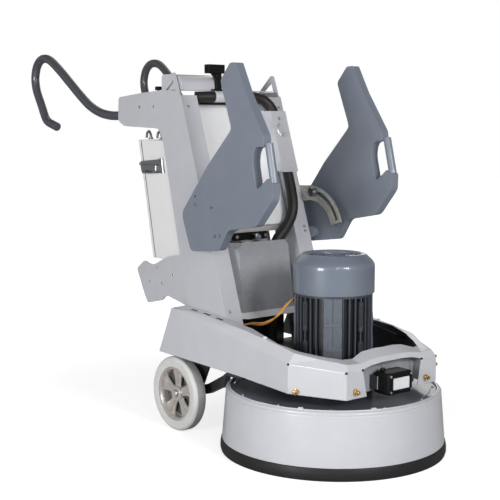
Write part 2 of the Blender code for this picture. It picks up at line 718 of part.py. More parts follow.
def tank():
    front_low, front_high = column_front(0.675) + 0.018, column_front(1.060) + 0.018
    outline = [(front_low, 0.668), (front_high, 1.066), (0.574, 1.066), (0.500, 0.660), (front_low + 0.02, 0.660)]
    body = side_plate("tank", [rounded(outline, [0.03, 0.03, 0.02, 0.02, 0.02], 4)], -0.1455, 0.1455)
    body = bevelled(body, 0.012, 2)
    outward = Vector((0, -1, 0.333)).normalized()
    seat = Vector((0.045, column_front(0.985) + 0.018, 0.985))
    neck = cylinder("neck", seat - outward * 0.01, seat + outward * 0.012, 0.026, 24)
    finish(unite(body, neck), "water_tank", "white")
    start = seat + outward * (0.012 + GAP)
    cap = cylinder("cap", start, start + outward * 0.014, 0.030, 24)
    finish(cap, "tank_cap", "black", tuple(start))
    shelf = side_plate("shelf", [[(0.374, 0.6485), (0.374, 0.6565), (0.470, 0.6565), (0.470, 0.6485)]], -0.1455, 0.1455)
    finish(shelf, "tank_shelf", "aluminium", smooth=False)
    pump = bevelled(box("pump", (-0.095, 0.366, 0.6225), (0.045, 0.425, 0.6485 - GAP)), 0.004)
    inlet = cylinder("inlet", (-0.020, 0.345, 0.635), (-0.020, 0.370, 0.635), 0.009, 12)
    finish(unite(pump, inlet), "water_pump", "black")


HOSE_KNOTS = [
    (0.060, 0.362, FRAME_TOP + GAP), (0.060, 0.362, 0.320), (0.060, 0.362, 0.420), (0.061, 0.362, 0.520),
    (0.066, 0.361, 0.580), (0.084, 0.357, 0.622), (0.110, 0.350, 0.655), (0.132, 0.343, 0.700),
    (0.143, 0.352, 0.750), (0.149, 0.381, 0.830), (0.147, 0.410, 0.920), (0.145, 0.436, 1.000),
    (0.140, 0.454, 1.048), (0.120, 0.468, 1.078), (0.085, 0.478, 1.091), (0.030, 0.484, 1.0925),
    (-0.040, 0.487, 1.0925), (-0.105, 0.500, 1.0915), (-0.140, 0.520, 1.0905)]


def dust_hose():
    """A suction hose from the deck, behind the cover, up the right column and over the tank."""
    finish(tube("hose", smooth_route(HOSE_KNOTS, 2), HOSE_RADIUS, 2), "dust_hose", "black")
    low, high = 0.842, 1.046
    face = side_plate("face", [strip(low, high, -0.0505, -0.0485)], 0.110, 0.178)
    wall = side_plate("wall", [strip(low, high, -0.0505, -GAP)], 0.176, 0.178)
    lip = side_plate("lip", [strip(low, high, -0.0505, 0.010)], 0.110, 0.112)
    finish(unite(face, wall, lip), "hose_guard", "column_grey", smooth=False)


def column_cover():
    """A folded cover in front of the columns' lower half, with slanting flanks and a foot lip."""
    levels = [(0.600, 0.3325, 0.108, 0.1465), (0.395, 0.302, 0.108, 0.1465), (0.378, 0.282, 0.108, 0.1465)]
    rows = [[(-0.1465, 0.380, 0.619), (-0.090, 0.335, 0.619), (0.090, 0.335, 0.619), (0.1465, 0.380, 0.619)]]
    for height, front, half, flank in levels:
        rows.append([(-flank, front + 0.045, height), (-half, front, height), (half, front, height),
                     (flank, front + 0.045, height)])
    rows = list(reversed(rows))
    finish(sheet("cover", rows, 0.002), "column_cover", "light_grey", smooth=False)


def rear_brackets():
    outline = [(0.470, 0.577), (0.578, 0.563), (0.674, 0.522), (0.722, 0.535), (0.768, 0.503), (0.722, 0.415),
               (0.703, 0.389), (0.618, 0.408), (0.592, 0.429), (0.524, 0.416), (0.470, 0.405)]
    outline = rounded(outline, [0, 0.03, 0.02, 0.008, 0.008, 0.01, 0.006, 0.006, 0.012, 0, 0], 2)
    for name, side in SIDES:
        plate = side_plate("plate", [outline] + [circle(0.005, 10, place) for place in (
            (0.645, 0.518), (0.554, 0.501), (0.617, 0.467), (0.688, 0.466))],
            side * 0.2052, side * (COLUMN_HALF_WIDTH - COLUMN_SHEET - GAP))
        finish(plate, f"rear_bracket_{name}", "column_grey", smooth=False)


# ---------------------------------------------------------------- electrical cabinet

CABINET_LOW, CABINET_HIGH = 0.545, 0.948
CABINET_HALF = 0.190
LATCH_FOOT, LATCH_HEAD = (0.626, 0.838), (0.634, 0.886)    # the ends of the latch's hinge, y and z
DOOR_LEAN = 0.204               # y gained for each metre of height along the rear face


def cabinet_rear(z):
    """Y of the door's outer face at a height."""
    return 0.779 + (z - 0.935) * DOOR_LEAN


def cabinet_front(z):
    return column_rear(z) + 0.006


def band(low, high, front, rear):
    """A slanting block's outline between two Y functions of height."""
    return [(front(low), low), (front(high), high), (rear(high), high), (rear(low), low)]


def cabinet():
    low, high = CABINET_LOW, CABINET_HIGH
    body = side_plate("cabinet", [band(low, high, cabinet_front, lambda z: cabinet_rear(z) - 0.016)],
                      -CABINET_HALF, CABINET_HALF)
    room = side_plate("room", [band(low + 0.004, high - 0.004, lambda z: cabinet_front(z) + 0.004, cabinet_rear)],
                      -CABINET_HALF + 0.004, CABINET_HALF - 0.004)
    finish(cut(body, room), "cabinet_body", "white", smooth=False)
    door = side_plate("door", [band(low, high, lambda z: cabinet_rear(z) - 0.016 + GAP, cabinet_rear)],
                      -CABINET_HALF, CABINET_HALF)
    pan = side_plate("pan", [band(low + 0.002, high - 0.002, lambda z: cabinet_rear(z) - 0.030,
                                  lambda z: cabinet_rear(z) - 0.002)], -CABINET_HALF + 0.002, CABINET_HALF - 0.002)
    door = cut(bevelled(door, 0.002), pan)
    finish(door, "cabinet_door", "white", (CABINET_HALF, cabinet_rear(low), low), smooth=False)
    unit = side_plate("inverter", [band(0.600, 0.860, lambda z: cabinet_front(z) + 0.004 + GAP,
                                        lambda z: cabinet_front(z) + 0.094)], -0.110, 0.110)
    finish(unit, "inverter", "dark_steel", smooth=False)
    outer = -CABINET_HALF - GAP
    hinge = outer - 0.004
    outline = rounded([LATCH_FOOT, LATCH_HEAD, (0.764, 0.874), (0.752, 0.832)], [0, 0, 0.008, 0.008], 2)
    grip = side_plate("latch", [outline], outer, outer - 0.006)
    knuckle = cylinder("knuckle", (hinge, *LATCH_FOOT), (hinge, *LATCH_HEAD), 0.0036, 10)
    pull = bevelled(box("pull", (outer - 0.016, 0.655, 0.842), (outer - 0.005, 0.745, 0.866)), 0.003)
    finish(unite(grip, knuckle, pull), "door_latch", "steel", (hinge, *LATCH_FOOT), smooth=False)


# ---------------------------------------------------------------- control panel

PANEL_LOW, PANEL_HIGH = (0.796, 1.040), (0.704, 1.100)
PANEL_NORMAL = Vector((0, PANEL_HIGH[1] - PANEL_LOW[1], PANEL_LOW[0] - PANEL_HIGH[0])).normalized()


def panel_point(x, along):
    """A point on the sloping control face, 0 at its lower edge and 1 at its upper edge."""
    return Vector((x, PANEL_LOW[0] + (PANEL_HIGH[0] - PANEL_LOW[0]) * along,
                   PANEL_LOW[1] + (PANEL_HIGH[1] - PANEL_LOW[1]) * along))


def control_panel():
    outline = [(0.640, 0.996), (0.640, 1.100), PANEL_HIGH, PANEL_LOW, (0.796, 0.996)]
    body = side_plate("panel", [outline], -0.165, 0.165)
    controls = [("emergency_button", -0.120, 0.010, 0.019, 0.016, "red"),
                ("start_button", -0.065, 0.010, 0.010, 0.006, "green"),
                ("stop_button", -0.030, 0.010, 0.010, 0.006, "red"),
                ("speed_knob", 0.030, 0.008, 0.015, 0.014, "black")]
    wells = []
    for name, x, stem, radius, height, colour in controls:
        seat = panel_point(x, 0.5)
        wells.append(cylinder("well", seat - PANEL_NORMAL * 0.014, seat + PANEL_NORMAL * 0.004, stem * 0.5 + 0.001, 12))
    finish(cut(body, *wells), "control_panel", "black", smooth=False)
    for name, x, stem, radius, height, colour in controls:
        seat = panel_point(x, 0.5)
        pushed = name.endswith("button")
        lift = 0.006 if pushed else 0.0006
        shank = cylinder("shank", seat - PANEL_NORMAL * 0.006, seat + PANEL_NORMAL * (lift + 0.002), stem * 0.5, 12)
        head = cylinder("head", seat + PANEL_NORMAL * lift, seat + PANEL_NORMAL * (lift + height), radius, 20,
                        radius * 0.9)
        finish(unite(shank, head), name, colour, tuple(seat))


# ---------------------------------------------------------------- wheels, weights and handle

def wheels():
    axle = cylinder("axle", (-0.270, WHEEL_Y, WHEEL_RADIUS), (0.270, WHEEL_Y, WHEEL_RADIUS), AXLE_RADIUS, 20)
    finish(axle, "wheel_axle", "steel")
    half = WHEEL_WIDTH / 2
    windows = []
    for index in range(5):
        start = 360 * index / 5 + 19
        windows.append(arc(0.075, start, start + 34, 3) + arc(0.036, start + 27, start + 7, 1))
    for name, side in SIDES:
        middle = side * (WHEEL_OUTER_X - half)
        lay = Matrix.Translation((middle, WHEEL_Y, WHEEL_RADIUS)) @ Matrix.Rotation(side * pi / 2, 4, "Y")
        tyre = turned("tyre", [(RIM_RADIUS + GAP, half - 0.002), (0.115, half), (WHEEL_RADIUS, half - 0.009),
                               (WHEEL_RADIUS, -half + 0.009), (0.115, -half), (RIM_RADIUS + GAP, -half + 0.002)], 40)
        tyre.data.transform(lay)
        centre = (middle, WHEEL_Y, WHEEL_RADIUS)
        finish(tyre, f"tyre_{name}", "tyre", centre)
        barrel = ring("barrel", 0.078, RIM_RADIUS, -half + 0.004, half - 0.004, 24)
        web = level_plate("web", [circle(0.081, 24)] + windows + [circle(AXLE_RADIUS + 0.004, 12)], -0.004, 0.008)
        hub = ring("hub", AXLE_RADIUS + GAP, 0.026, -0.020, 0.016, 16)
        rim = unite(barrel, web, hub)
        rim.data.transform(lay)
        finish(rim, f"rim_{name}", "aluminium", centre)


def weight_outline():
    corners = [(0.148, 1.184), (0.175, 1.184), (0.222, 1.134), (0.169, 0.987), (0.288, 0.874), (0.417, 0.728),
               (0.419, 0.706), (0.378, 0.606), (0.362, 0.602), (0.233, 0.614), (0.185, 0.682), (0.054, 0.701),
               (-0.019, 0.783), (-0.022, 0.832), (0.002, 0.846), (0.052, 0.808), (0.071, 0.895), (0.060, 0.935),
               (0.019, 0.938), (0.020, 0.967), (0.102, 1.094)]
    radii = [0.004, 0.006, 0.010, 0.012, 0, 0.008, 0.008, 0.008, 0.008, 0.012, 0.012, 0.012, 0.010, 0.006,
             0.004, 0.016, 0.03, 0.016, 0.004, 0.008, 0]
    return rounded(corners, radii, 2)


def weights():
    y, z = WEIGHT_PIVOT
    for name, side in SIDES:
        inner = WEIGHT_OUTER_X - WEIGHT_THICKNESS
        plate = side_plate("weight", [weight_outline()], side * inner, side * WEIGHT_OUTER_X)
        middle = side * (inner + WEIGHT_THICKNESS / 2)
        grip = cylinder("grip", (middle, 0.012, 0.947), (middle, -0.012, 0.832), 0.0125, 16)
        boss = cylinder("boss", (side * (COLUMN_HALF_WIDTH + GAP), y, z), (side * (inner + 0.002), y, z), 0.020, 20)
        weight = unite(plate, grip, boss)
        lean = RIGHT_WEIGHT_LEAN if side > 0 else 0.0
        turn = Matrix.Translation((0, y, z)) @ Matrix.Rotation(radians(-lean), 4, "X") @ Matrix.Translation((0, -y, -z))
        weight.data.transform(turn)
        finish(weight, f"weight_{name}", "weight_grey", (0, y, z), smooth=False)
        sector(name, side)
        start = radians(SLOT_START - lean)
        pin_y, pin_z = y + SLOT_RADIUS * cos(start), z + SLOT_RADIUS * sin(start)
        shank = cylinder("shank", (side * (inner - GAP), pin_y, pin_z), (side * 0.206, pin_y, pin_z), 0.0065, 16)
        knob = cylinder("knob", (side * COLUMN_HALF_WIDTH, pin_y, pin_z), (side * 0.196, pin_y, pin_z), 0.015, 16)
        finish(unite(shank, knob), f"weight_pin_{name}", "steel", (side * inner, pin_y, pin_z))


def sector(name, side):
    """An arc plate on the column's side, whose slot guides the weight's pin."""
    y, z = WEIGHT_PIVOT
    first, last = SLOT_START - 10, SLOT_START + WEIGHT_SWING + 8
    tail = [(0.425, 0.735), (0.425, 0.792)]
    outline = arc(SLOT_RADIUS + 0.020, first, last, 8, (y, z)) + arc(SLOT_RADIUS - 0.030, last, first, 8, (y, z)) + tail
    slot = arc(SLOT_RADIUS + 0.0075, SLOT_START - 5, SLOT_START + WEIGHT_SWING + 4, 10, (y, z))
    slot += arc(SLOT_RADIUS - 0.0075, SLOT_START + WEIGHT_SWING + 4, SLOT_START - 5, 10, (y, z))
    plate = side_plate("sector", [outline, slot], side * (COLUMN_HALF_WIDTH + GAP), side * (COLUMN_HALF_WIDTH + 0.006))
    finish(plate, f"sector_{name}", "steel", smooth=False)


HORN = [(0.194, 0.825, 1.035), (0.1945, 0.860, 1.0325), (0.196, 0.905, 1.031), (0.200, 0.948, 1.033),
        (0.206, 1.000, 1.043), (0.215, 1.055, 1.068), (0.225, 1.110, 1.110), (0.236, 1.160, 1.155),
        (0.244, 1.208, 1.195), (0.249, 1.263, 1.232), (0.250, 1.303, 1.245), (0.250, 1.343, 1.242),
        (0.250, 1.375, 1.218), (0.250, 1.3895, 1.175), (0.250, 1.380, 1.128), (0.250, 1.345, 1.071),
        (0.250, 1.318, 1.027), (0.250, 1.297, 1.010), (0.250, 1.268, 1.001), (0.250, 1.231, 0.991)]


def handle():
    y, z = HANDLE_PIVOT
    bar = tube("bar", [(-0.198, y, z), (0.198, y, z)], HANDLE_RADIUS, 2)
    horns = []
    for _, side in SIDES:
        points = smooth_route([(side * px, py, pz) for px, py, pz in HORN], 1)
        horns.append(tube("horn", points, HANDLE_RADIUS, 2))
    finish(unite(bar, *horns), "handle_bar", "dark_steel", (0, y, z))
    for name, side in SIDES:
        x = side * 0.196
        stud = cylinder("stud", (x, 0.648, 1.1115), (x, 0.648, 1.117), 0.005, 12)
        knob = cylinder("knob", (x, 0.648, 1.115), (x, 0.648, 1.127), 0.0125, 16, 0.011)
        finish(unite(stud, knob), f"handle_lock_{name}", "black", (x, 0.648, 1.115))


def build():
    shroud()
    housing()
    planetary_drum()
    satellites()
    drive_belt()
    motor()
    motor_cable()
    chassis_frame()
    chassis_hood()
    lamp()
    nozzles()
    columns()
    console()
    tank()
    dust_hose()
    column_cover()
    rear_brackets()
    cabinet()
    control_panel()
    wheels()
    weights()
    handle()


build()
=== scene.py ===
"""Looks of a walk-behind concrete grinder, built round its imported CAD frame.

Pieces are drawn in the grinding head's own frame, in metres: Z is the motor's axis, -Y is the
front and +Y the operator's side. `finish` moves each piece to the row frame and names the body
it rides on. A piece that stands for a CAD node is either a finer drawing of the same shape or a
copy of the node with its edges rounded.
"""

import json
from math import cos, degrees, pi, radians, sin, tau

import bmesh
import bpy
from mathutils import Matrix, Vector

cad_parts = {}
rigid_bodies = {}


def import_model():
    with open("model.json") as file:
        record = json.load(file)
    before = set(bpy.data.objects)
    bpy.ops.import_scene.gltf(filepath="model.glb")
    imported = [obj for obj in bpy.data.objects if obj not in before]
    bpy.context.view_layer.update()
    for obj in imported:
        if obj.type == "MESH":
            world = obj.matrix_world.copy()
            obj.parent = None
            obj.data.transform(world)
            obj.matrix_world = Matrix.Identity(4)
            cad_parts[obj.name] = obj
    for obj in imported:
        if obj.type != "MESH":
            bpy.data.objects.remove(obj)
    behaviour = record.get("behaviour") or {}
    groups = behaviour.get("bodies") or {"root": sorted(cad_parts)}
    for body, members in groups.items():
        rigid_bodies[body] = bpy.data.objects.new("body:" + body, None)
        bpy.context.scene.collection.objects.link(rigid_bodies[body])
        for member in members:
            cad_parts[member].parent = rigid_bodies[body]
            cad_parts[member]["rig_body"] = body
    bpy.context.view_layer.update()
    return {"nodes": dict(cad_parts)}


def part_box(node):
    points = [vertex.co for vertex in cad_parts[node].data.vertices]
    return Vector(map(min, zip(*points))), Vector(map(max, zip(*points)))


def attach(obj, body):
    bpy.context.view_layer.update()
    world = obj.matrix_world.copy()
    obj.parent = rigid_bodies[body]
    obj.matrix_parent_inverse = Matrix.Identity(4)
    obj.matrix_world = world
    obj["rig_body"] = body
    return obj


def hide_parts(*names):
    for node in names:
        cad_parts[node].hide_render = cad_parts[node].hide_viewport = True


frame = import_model()
NODES = frame["nodes"]


def node_size(node):
    low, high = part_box(node)
    return low, high, high - low


# Places and sizes read from the frame
MOTOR_LOW, MOTOR_HIGH, MOTOR_SIZE = node_size("motor_casing")
HEAD_Y = (MOTOR_LOW.y + MOTOR_HIGH.y) / 2
COWL_LOW, COWL_HIGH, COWL_SIZE = node_size("fan_cowl")
SHROUD_LOW, SHROUD_HIGH, SHROUD_SIZE = node_size("shroud_ring")
_, SKIRT_HIGH, SKIRT_SIZE = node_size("rubber_skirt")
DECK_LOW, DECK_HIGH, DECK_SIZE = node_size("deck_plate")
DECK_BOLT_CIRCLE = 0.306
FRAME_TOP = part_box("head_housing")[0].z + 0.0397
COLUMN_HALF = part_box("column_right")[1].x
COLUMN_TOP = 1.097
COLUMN_SLOPE = 0.333            # the front edge's run in y for its rise in z
WEIGHT_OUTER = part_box("weight_right")[1].x
WEIGHT_THICKNESS = 0.030
WEIGHT_PIVOT = (0.345, 0.635)   # y, z
RIGHT_WEIGHT_LEAN = 2.0         # degrees
TYRE_LOW, TYRE_HIGH, TYRE_SIZE = node_size("tyre_right")
WHEEL_RADIUS = TYRE_SIZE.z / 2
WHEEL_WIDTH = TYRE_SIZE.x
WHEEL_X = (TYRE_LOW.x + TYRE_HIGH.x) / 2
WHEEL_Y = (TYRE_LOW.y + TYRE_HIGH.y) / 2 - HEAD_Y
RIM_RADIUS = 0.088
RIM_BORE = 0.0775
HANDLE_RADIUS = 0.0158
HOSE_RADIUS = 0.018
GAP = 0.0003
HOOD_FRONT = -0.252
RECESS_FACE = -0.213
SIDES = (("left", -1), ("right", 1))


# ---------------------------------------------------------------- materials

def srgb(red, green, blue):
    """A display colour, 0 to 255, as linear light."""
    return tuple((c / 255 / 12.92 if c <= 10 else ((c / 255 + 0.055) / 1.055) ** 2.4)
                 for c in (red, green, blue)) + (1.0,)


def shaded(colour, factor):
    return tuple(min(1.0, c * factor) for c in colour[:3]) + (1.0,)


def set_sockets(target, values):
    """Set a node's sockets, or its own settings where no socket has that name."""
    for name, value in values.items():
        socket = name.replace("_", " ")
        if socket in target.inputs:
            target.inputs[socket].default_value = value
        else:
            setattr(target, name, value)


def node(material, kind, **values):
    made = material.node_tree.nodes.new(kind)
    set_sockets(made, values)
    return made


def wire(material, *links):
    """Links between nodes, each given as source, output, target and socket."""
    for source, output, target, socket in links:
        material.node_tree.links.new(source.outputs[output], target.inputs[socket])


def shader_of(material):
    return material.node_tree.nodes["Principled BSDF"]


def principled(name, roughness, metallic=0.0, **values):
    """A Principled material with its plain values set on the shader itself."""
    material = bpy.data.materials.new(name)
    material.use_nodes = True
    set_sockets(shader_of(material), {"Roughness": roughness, "Metallic": metallic, **values})
    return material


def noise(material, scale, detail, stretch):
    """Object-space noise, so that the grain has its real size in metres."""
    place = node(material, "ShaderNodeTexCoord")
    mapping = node(material, "ShaderNodeMapping", Scale=stretch)
    texture = node(material, "ShaderNodeTexNoise", Scale=scale, Detail=detail, Roughness=0.6)
    wire(material, (place, "Object", mapping, "Vector"), (mapping, "Vector", texture, "Vector"))
    return texture


def two_tone(material, texture, output, dark, light, positions=(0.0, 1.0)):
    """Base colour that runs between two colours with a texture's output."""
    ramp = node(material, "ShaderNodeValToRGB")
    for element, colour, position in zip(ramp.color_ramp.elements, (dark, light), positions):
        element.color = colour
        element.position = position
    wire(material, (texture, output, ramp, "Fac"), (ramp, "Color", shader_of(material), "Base Color"))


def mottled(material, colour, spread, scale, stretch=(1, 1, 1)):
    """Colour that drifts a little round its mean over the surface."""
    texture = noise(material, scale, 4.0, stretch)
    two_tone(material, texture, "Fac", shaded(colour, 1 - spread), shaded(colour, 1 + spread), (0.3, 0.7))


def grained(material, scale, depth, strength=1.0, stretch=(1, 1, 1)):
    """Fine relief of a given depth in metres."""
    texture = noise(material, scale, 2.0, stretch)
    bump = node(material, "ShaderNodeBump", Strength=strength, Distance=depth)
    wire(material, (texture, "Fac", bump, "Height"), (bump, "Normal", shader_of(material), "Normal"))


def uneven_gloss(material, low, high, scale, stretch=(1, 1, 1)):
    """Roughness that wanders between two values."""
    texture = noise(material, scale, 4.0, stretch)
    span = node(material, "ShaderNodeMapRange", To_Min=low, To_Max=high)
    wire(material, (texture, "Fac", span, "Value"), (span, "Result", shader_of(material), "Roughness"))


def powder_coat(name, colour, roughness=0.38, spread=0.025):
    """Powder coat on steel: an even colour with fine orange peel."""
    material = principled(name, roughness, Specular_IOR_Level=0.45, Coat_Weight=0.6, Coat_Roughness=0.10)
    mottled(material, colour, spread, 14.0)
    grained(material, 900.0, 0.00006, 0.35)
    uneven_gloss(material, roughness - 0.05, roughness + 0.07, 30.0)
    return material


def casting(name, colour, roughness=0.45):
    """Painted casting, with a sandy skin under the paint."""
    material = principled(name, roughness, Specular_IOR_Level=0.5)
    mottled(material, colour, 0.10, 60.0)
    grained(material, 420.0, 0.00025, 0.6)
    uneven_gloss(material, roughness - 0.08, roughness + 0.12, 90.0)
    return material


def root_shaded_casting(name, colour, root, tip):
    """A finned casting whose colour darkens towards the root of the fins round the motor's axis: painted
    shade in the gaps between the fins.
    """
    material = casting(name, colour)
    shader = shader_of(material)
    paint = shader.inputs["Base Color"].links[0].from_node
    place = node(material, "ShaderNodeTexCoord")
    offset = node(material, "ShaderNodeVectorMath", operation="SUBTRACT")
    offset.inputs[1].default_value = (0, HEAD_Y, 0)
    level = node(material, "ShaderNodeVectorMath", operation="MULTIPLY")
    level.inputs[1].default_value = (1, 1, 0)
    radius = node(material, "ShaderNodeVectorMath", operation="LENGTH")
    # painted shade: the base colour is scaled down towards the fins' root, where the gaps between the fins
    # are in shade
    depth = node(material, "ShaderNodeMapRange", From_Min=root, From_Max=tip, To_Min=0.06)
    root_shade = node(material, "ShaderNodeVectorMath", operation="SCALE")
    wire(material, (place, "Object", offset, 0), (offset, "Vector", level, 0), (level, "Vector", radius, 0),
         (radius, "Value", depth, "Value"), (paint, "Color", root_shade, 0), (depth, "Result", root_shade, "Scale"),
         (root_shade, "Vector", shader, "Base Color"))
    return material


def rubber(name, colour, roughness=0.6):
    material = principled(name, roughness, Specular_IOR_Level=0.35)
    mottled(material, colour, 0.14, 35.0)
    grained(material, 700.0, 0.00015, 0.5)
    uneven_gloss(material, roughness - 0.1, roughness + 0.15, 22.0)
    return material


def plastic(name, colour, roughness=0.4, spread=0.03, gloss=0.5):
    material = principled(name, roughness, Specular_IOR_Level=gloss)
    mottled(material, colour, spread, 25.0)
    grained(material, 1200.0, 0.00005, 0.4)
    uneven_gloss(material, roughness - 0.06, roughness + 0.08, 40.0)
    return material


def tank_plastic(name, colour):
    """Moulded polyethylene, which lets a little light in."""
    material = principled(name, 0.42, Subsurface_Weight=0.25, Subsurface_Scale=0.02)
    mottled(material, colour, 0.02, 9.0)
    grained(material, 500.0, 0.0001, 0.3)
    return material


def bare_metal(name, colour, roughness=0.3, brush=(1, 1, 12), depth=0.00004, metallic=1.0):
    """Machined, brushed or cast metal with fine streaks; a dull casting is less than fully metallic."""
    material = principled(name, roughness, metallic)
    mottled(material, colour, 0.08, 70.0, brush)
    grained(material, 500.0, depth, 0.5, brush)
    uneven_gloss(material, roughness - 0.08, roughness + 0.12, 120.0, brush)
    return material


def galvanised(name, colour):
    """Hot-dip zinc with its crystal spangle, under its dull grey skin."""
    material = principled(name, 0.38, 0.65)
    place = node(material, "ShaderNodeTexCoord")
    cells = node(material, "ShaderNodeTexVoronoi", Scale=130.0)
    wire(material, (place, "Object", cells, "Vector"))
    two_tone(material, cells, "Color", shaded(colour, 0.72), shaded(colour, 1.15))
    uneven_gloss(material, 0.28, 0.52, 60.0)
    grained(material, 300.0, 0.0001, 0.4)
    return material


def lens_glass(name):
    """The lamp's lens: bright and ribbed, as its reflector shows through."""
    material = principled(name, 0.08, 0.0, Coat_Weight=0.6)
    mottled(material, srgb(236, 238, 242), 0.05, 220.0)
    grained(material, 260.0, 0.0003, 0.6, (1, 1, 0.05))
    return material


LIGHT_GREY = powder_coat("light_grey_coat", srgb(203, 204, 210), 0.34)
COLUMN_GREY = powder_coat("column_grey_coat", srgb(197, 198, 204), 0.32)
# darker than the hood's grey: partly the cover's own grey, partly painted shade for the cover under the motor
# and weights
COVER_GREY = powder_coat("cover_grey_coat", srgb(160, 162, 168), 0.26)
WEIGHT_GREY = powder_coat("weight_grey_coat", srgb(124, 132, 145), 0.42, 0.035)
COWL_GREY = powder_coat("cowl_grey_coat", srgb(112, 121, 134), 0.33)
DECK_GREY = powder_coat("deck_grey_coat", srgb(98, 103, 113), 0.36)
FRAME_GREY = powder_coat("frame_dark_coat", srgb(44, 45, 49), 0.42)
HANDLE_GREY = powder_coat("handle_dark_coat", srgb(76, 78, 84), 0.34)
MOTOR_GREY = casting("motor_casting", srgb(66, 70, 78))
PAD_GREY = casting("motor_pad_casting", srgb(96, 102, 112))
# the fin casting carries painted shade at the root of its fins
FIN_GREY = root_shaded_casting("motor_fin_casting", srgb(74, 78, 87), 0.106, 0.1195)
TOOL_IRON = casting("tool_iron_casting", srgb(92, 92, 95))
BLACK_PLASTIC = plastic("black_plastic", srgb(11, 11, 12), 0.5, gloss=0.22)
BLACK_RUBBER = rubber("black_rubber", srgb(40, 39, 39))
SKIRT_RUBBER = rubber("skirt_rubber", srgb(32, 31, 33), 0.5)
TYRE_GREY = plastic("grey_tyre_rubber", srgb(216, 217, 214), 0.5, 0.02)
TREAD_GREY = rubber("grey_tread_rubber", srgb(168, 169, 168), 0.6)
HOSE_BLACK = rubber("hose_rubber", srgb(38, 36, 35), 0.45)
ALUMINIUM = bare_metal("cast_aluminium", srgb(214, 209, 204), 0.38, (1, 1, 1), 0.00008, 0.6)
STEEL = bare_metal("zinc_steel", srgb(182, 184, 188), 0.3)
ZINC = galvanised("galvanised_steel", srgb(214, 213, 204))
BRASS = bare_metal("brass", srgb(222, 186, 116), 0.24, (1, 1, 1))
TANK_WHITE = tank_plastic("tank_plastic", srgb(246, 247, 249))
CABINET_WHITE = powder_coat("cabinet_white_coat", srgb(243, 243, 243), 0.4, 0.012)
LENS = lens_glass("lens")
RED = plastic("red_plastic", srgb(190, 28, 24), 0.3)
GREEN = plastic("green_plastic", srgb(30, 130, 62), 0.3)
ORANGE = rubber("orange_sheath", srgb(236, 150, 60), 0.4)
TAN = rubber("tan_sheath", srgb(232, 190, 128), 0.4)


# ---------------------------------------------------------------- tools

def new_object(data, name="piece"):
    obj = bpy.data.objects.new(name, data)
    bpy.context.scene.collection.objects.link(obj)
    return obj


def discard(obj):
    bpy.data.objects.remove(obj, do_unlink=True)


def built(builder):
    """The mesh that a builder holds, as an object."""
    mesh = bpy.data.meshes.new("piece")
    builder.to_mesh(mesh)
    builder.free()
    return new_object(mesh)


def welded(mesh, distance):
    """Join a mesh's doubled points, and hand back the open builder."""
    builder = bmesh.new()
    builder.from_mesh(mesh)
    bmesh.ops.remove_doubles(builder, verts=builder.verts, dist=distance)
    return builder


def baked(obj):
    """Freeze an object's modifiers and placing into a plain mesh."""
    bpy.context.view_layer.update()
    graph = bpy.context.evaluated_depsgraph_get()
    mesh = bpy.data.meshes.new_from_object(obj.evaluated_get(graph))
    mesh.transform(obj.matrix_world)
    discard(obj)
    welder = welded(mesh, 0.00001)
    welder.to_mesh(mesh)
    welder.free()
    return new_object(mesh)


def modified(obj, kind, **values):
    """The piece with one modifier applied."""
    modifier = obj.modifiers.new(kind, kind)
    for name, value in values.items():
        setattr(modifier, name, value)
    return baked(obj)


def cut(base, tool):
    base = modified(base, "BOOLEAN", operation="DIFFERENCE", object=tool, solver="EXACT")
    discard(tool)
    return base


def bevelled(obj, width, segments=2, angle=35):
    return modified(obj, "BEVEL", width=width, segments=segments, limit_method="ANGLE",
                    angle_limit=radians(angle))


def weighted(obj):
    """Even shading over large faces and their rounded edges."""
    obj.data.shade_smooth()
    return modified(obj, "WEIGHTED_NORMAL", keep_sharp=True)


def merged(*objs):
    """Several solids as one piece, left as they are."""
    builder = bmesh.new()
    for obj in objs:
        builder.from_mesh(obj.data)
        discard(obj)
    return built(builder)


def placed(obj, place, turn=Matrix()):
    """The piece turned and then moved to its place."""
    obj.data.transform(Matrix.Translation(place) @ turn)
    return obj


def facing(direction):
    """The turn that points a piece's Z axis in a direction."""
    return Vector(direction).to_track_quat("Z", "Y").to_matrix().to_4x4()


def box(low, high):
    low, high = Vector(low), Vector(high)
    builder = bmesh.new()
    bmesh.ops.create_cube(builder, size=1.0)
    matrix = Matrix.Translation((high + low) / 2) @ Matrix.Diagonal((high - low).to_4d())
    bmesh.ops.transform(builder, matrix=matrix, verts=builder.verts)
    return built(builder)


def cylinder(start, end, radius, segments=32, end_radius=None):
    start, end = Vector(start), Vector(end)
    builder = bmesh.new()
    bmesh.ops.create_cone(builder, cap_ends=True, segments=segments, radius1=radius,
                          radius2=radius if end_radius is None else end_radius, depth=(end - start).length)
    matrix = Matrix.Translation((start + end) / 2) @ facing(end - start)
    bmesh.ops.transform(builder, matrix=matrix, verts=builder.verts)
    return built(builder)


def stub(seat, outward, start, end, radius, segments=24, end_radius=None):
    """A cylinder along an axis, between two distances from its seat."""
    return cylinder(seat + outward * start, seat + outward * end, radius, segments, end_radius)


def rounded(corners, radius, steps=5):
    """An outline with each corner rounded off, or left sharp where its radius is 0."""
    points = []
    count = len(corners)
    for index, corner in enumerate(corners):
        size = radius[index] if isinstance(radius, (list, tuple)) else radius
        here = Vector(corner)
        before = Vector(corners[index - 1]) - here
        after = Vector(corners[(index + 1) % count]) - here
        reach = min(size, before.length * 0.48, after.length * 0.48)
        if reach <= 0:
            points.append(tuple(here))
            continue
        first = here + before.normalized() * reach
        last = here + after.normalized() * reach
        for step in range(steps + 1):
            t = step / steps
            points.append(tuple(first * (1 - t) ** 2 + here * 2 * t * (1 - t) + last * t ** 2))
    return points


def line_curve(routes, closed, **values):
    """A curve object along lists of points, with its settings."""
    curve = bpy.data.curves.new("piece", "CURVE")
    for name, value in values.items():
        setattr(curve, name, value)
    for route in routes:
        spline = curve.splines.new("POLY")
        spline.points.add(len(route) - 1)
        for point, place in zip(spline.points, route):
            point.co = (*Vector(place).to_3d(), 1)
        spline.use_cyclic_u = closed
    return new_object(curve)


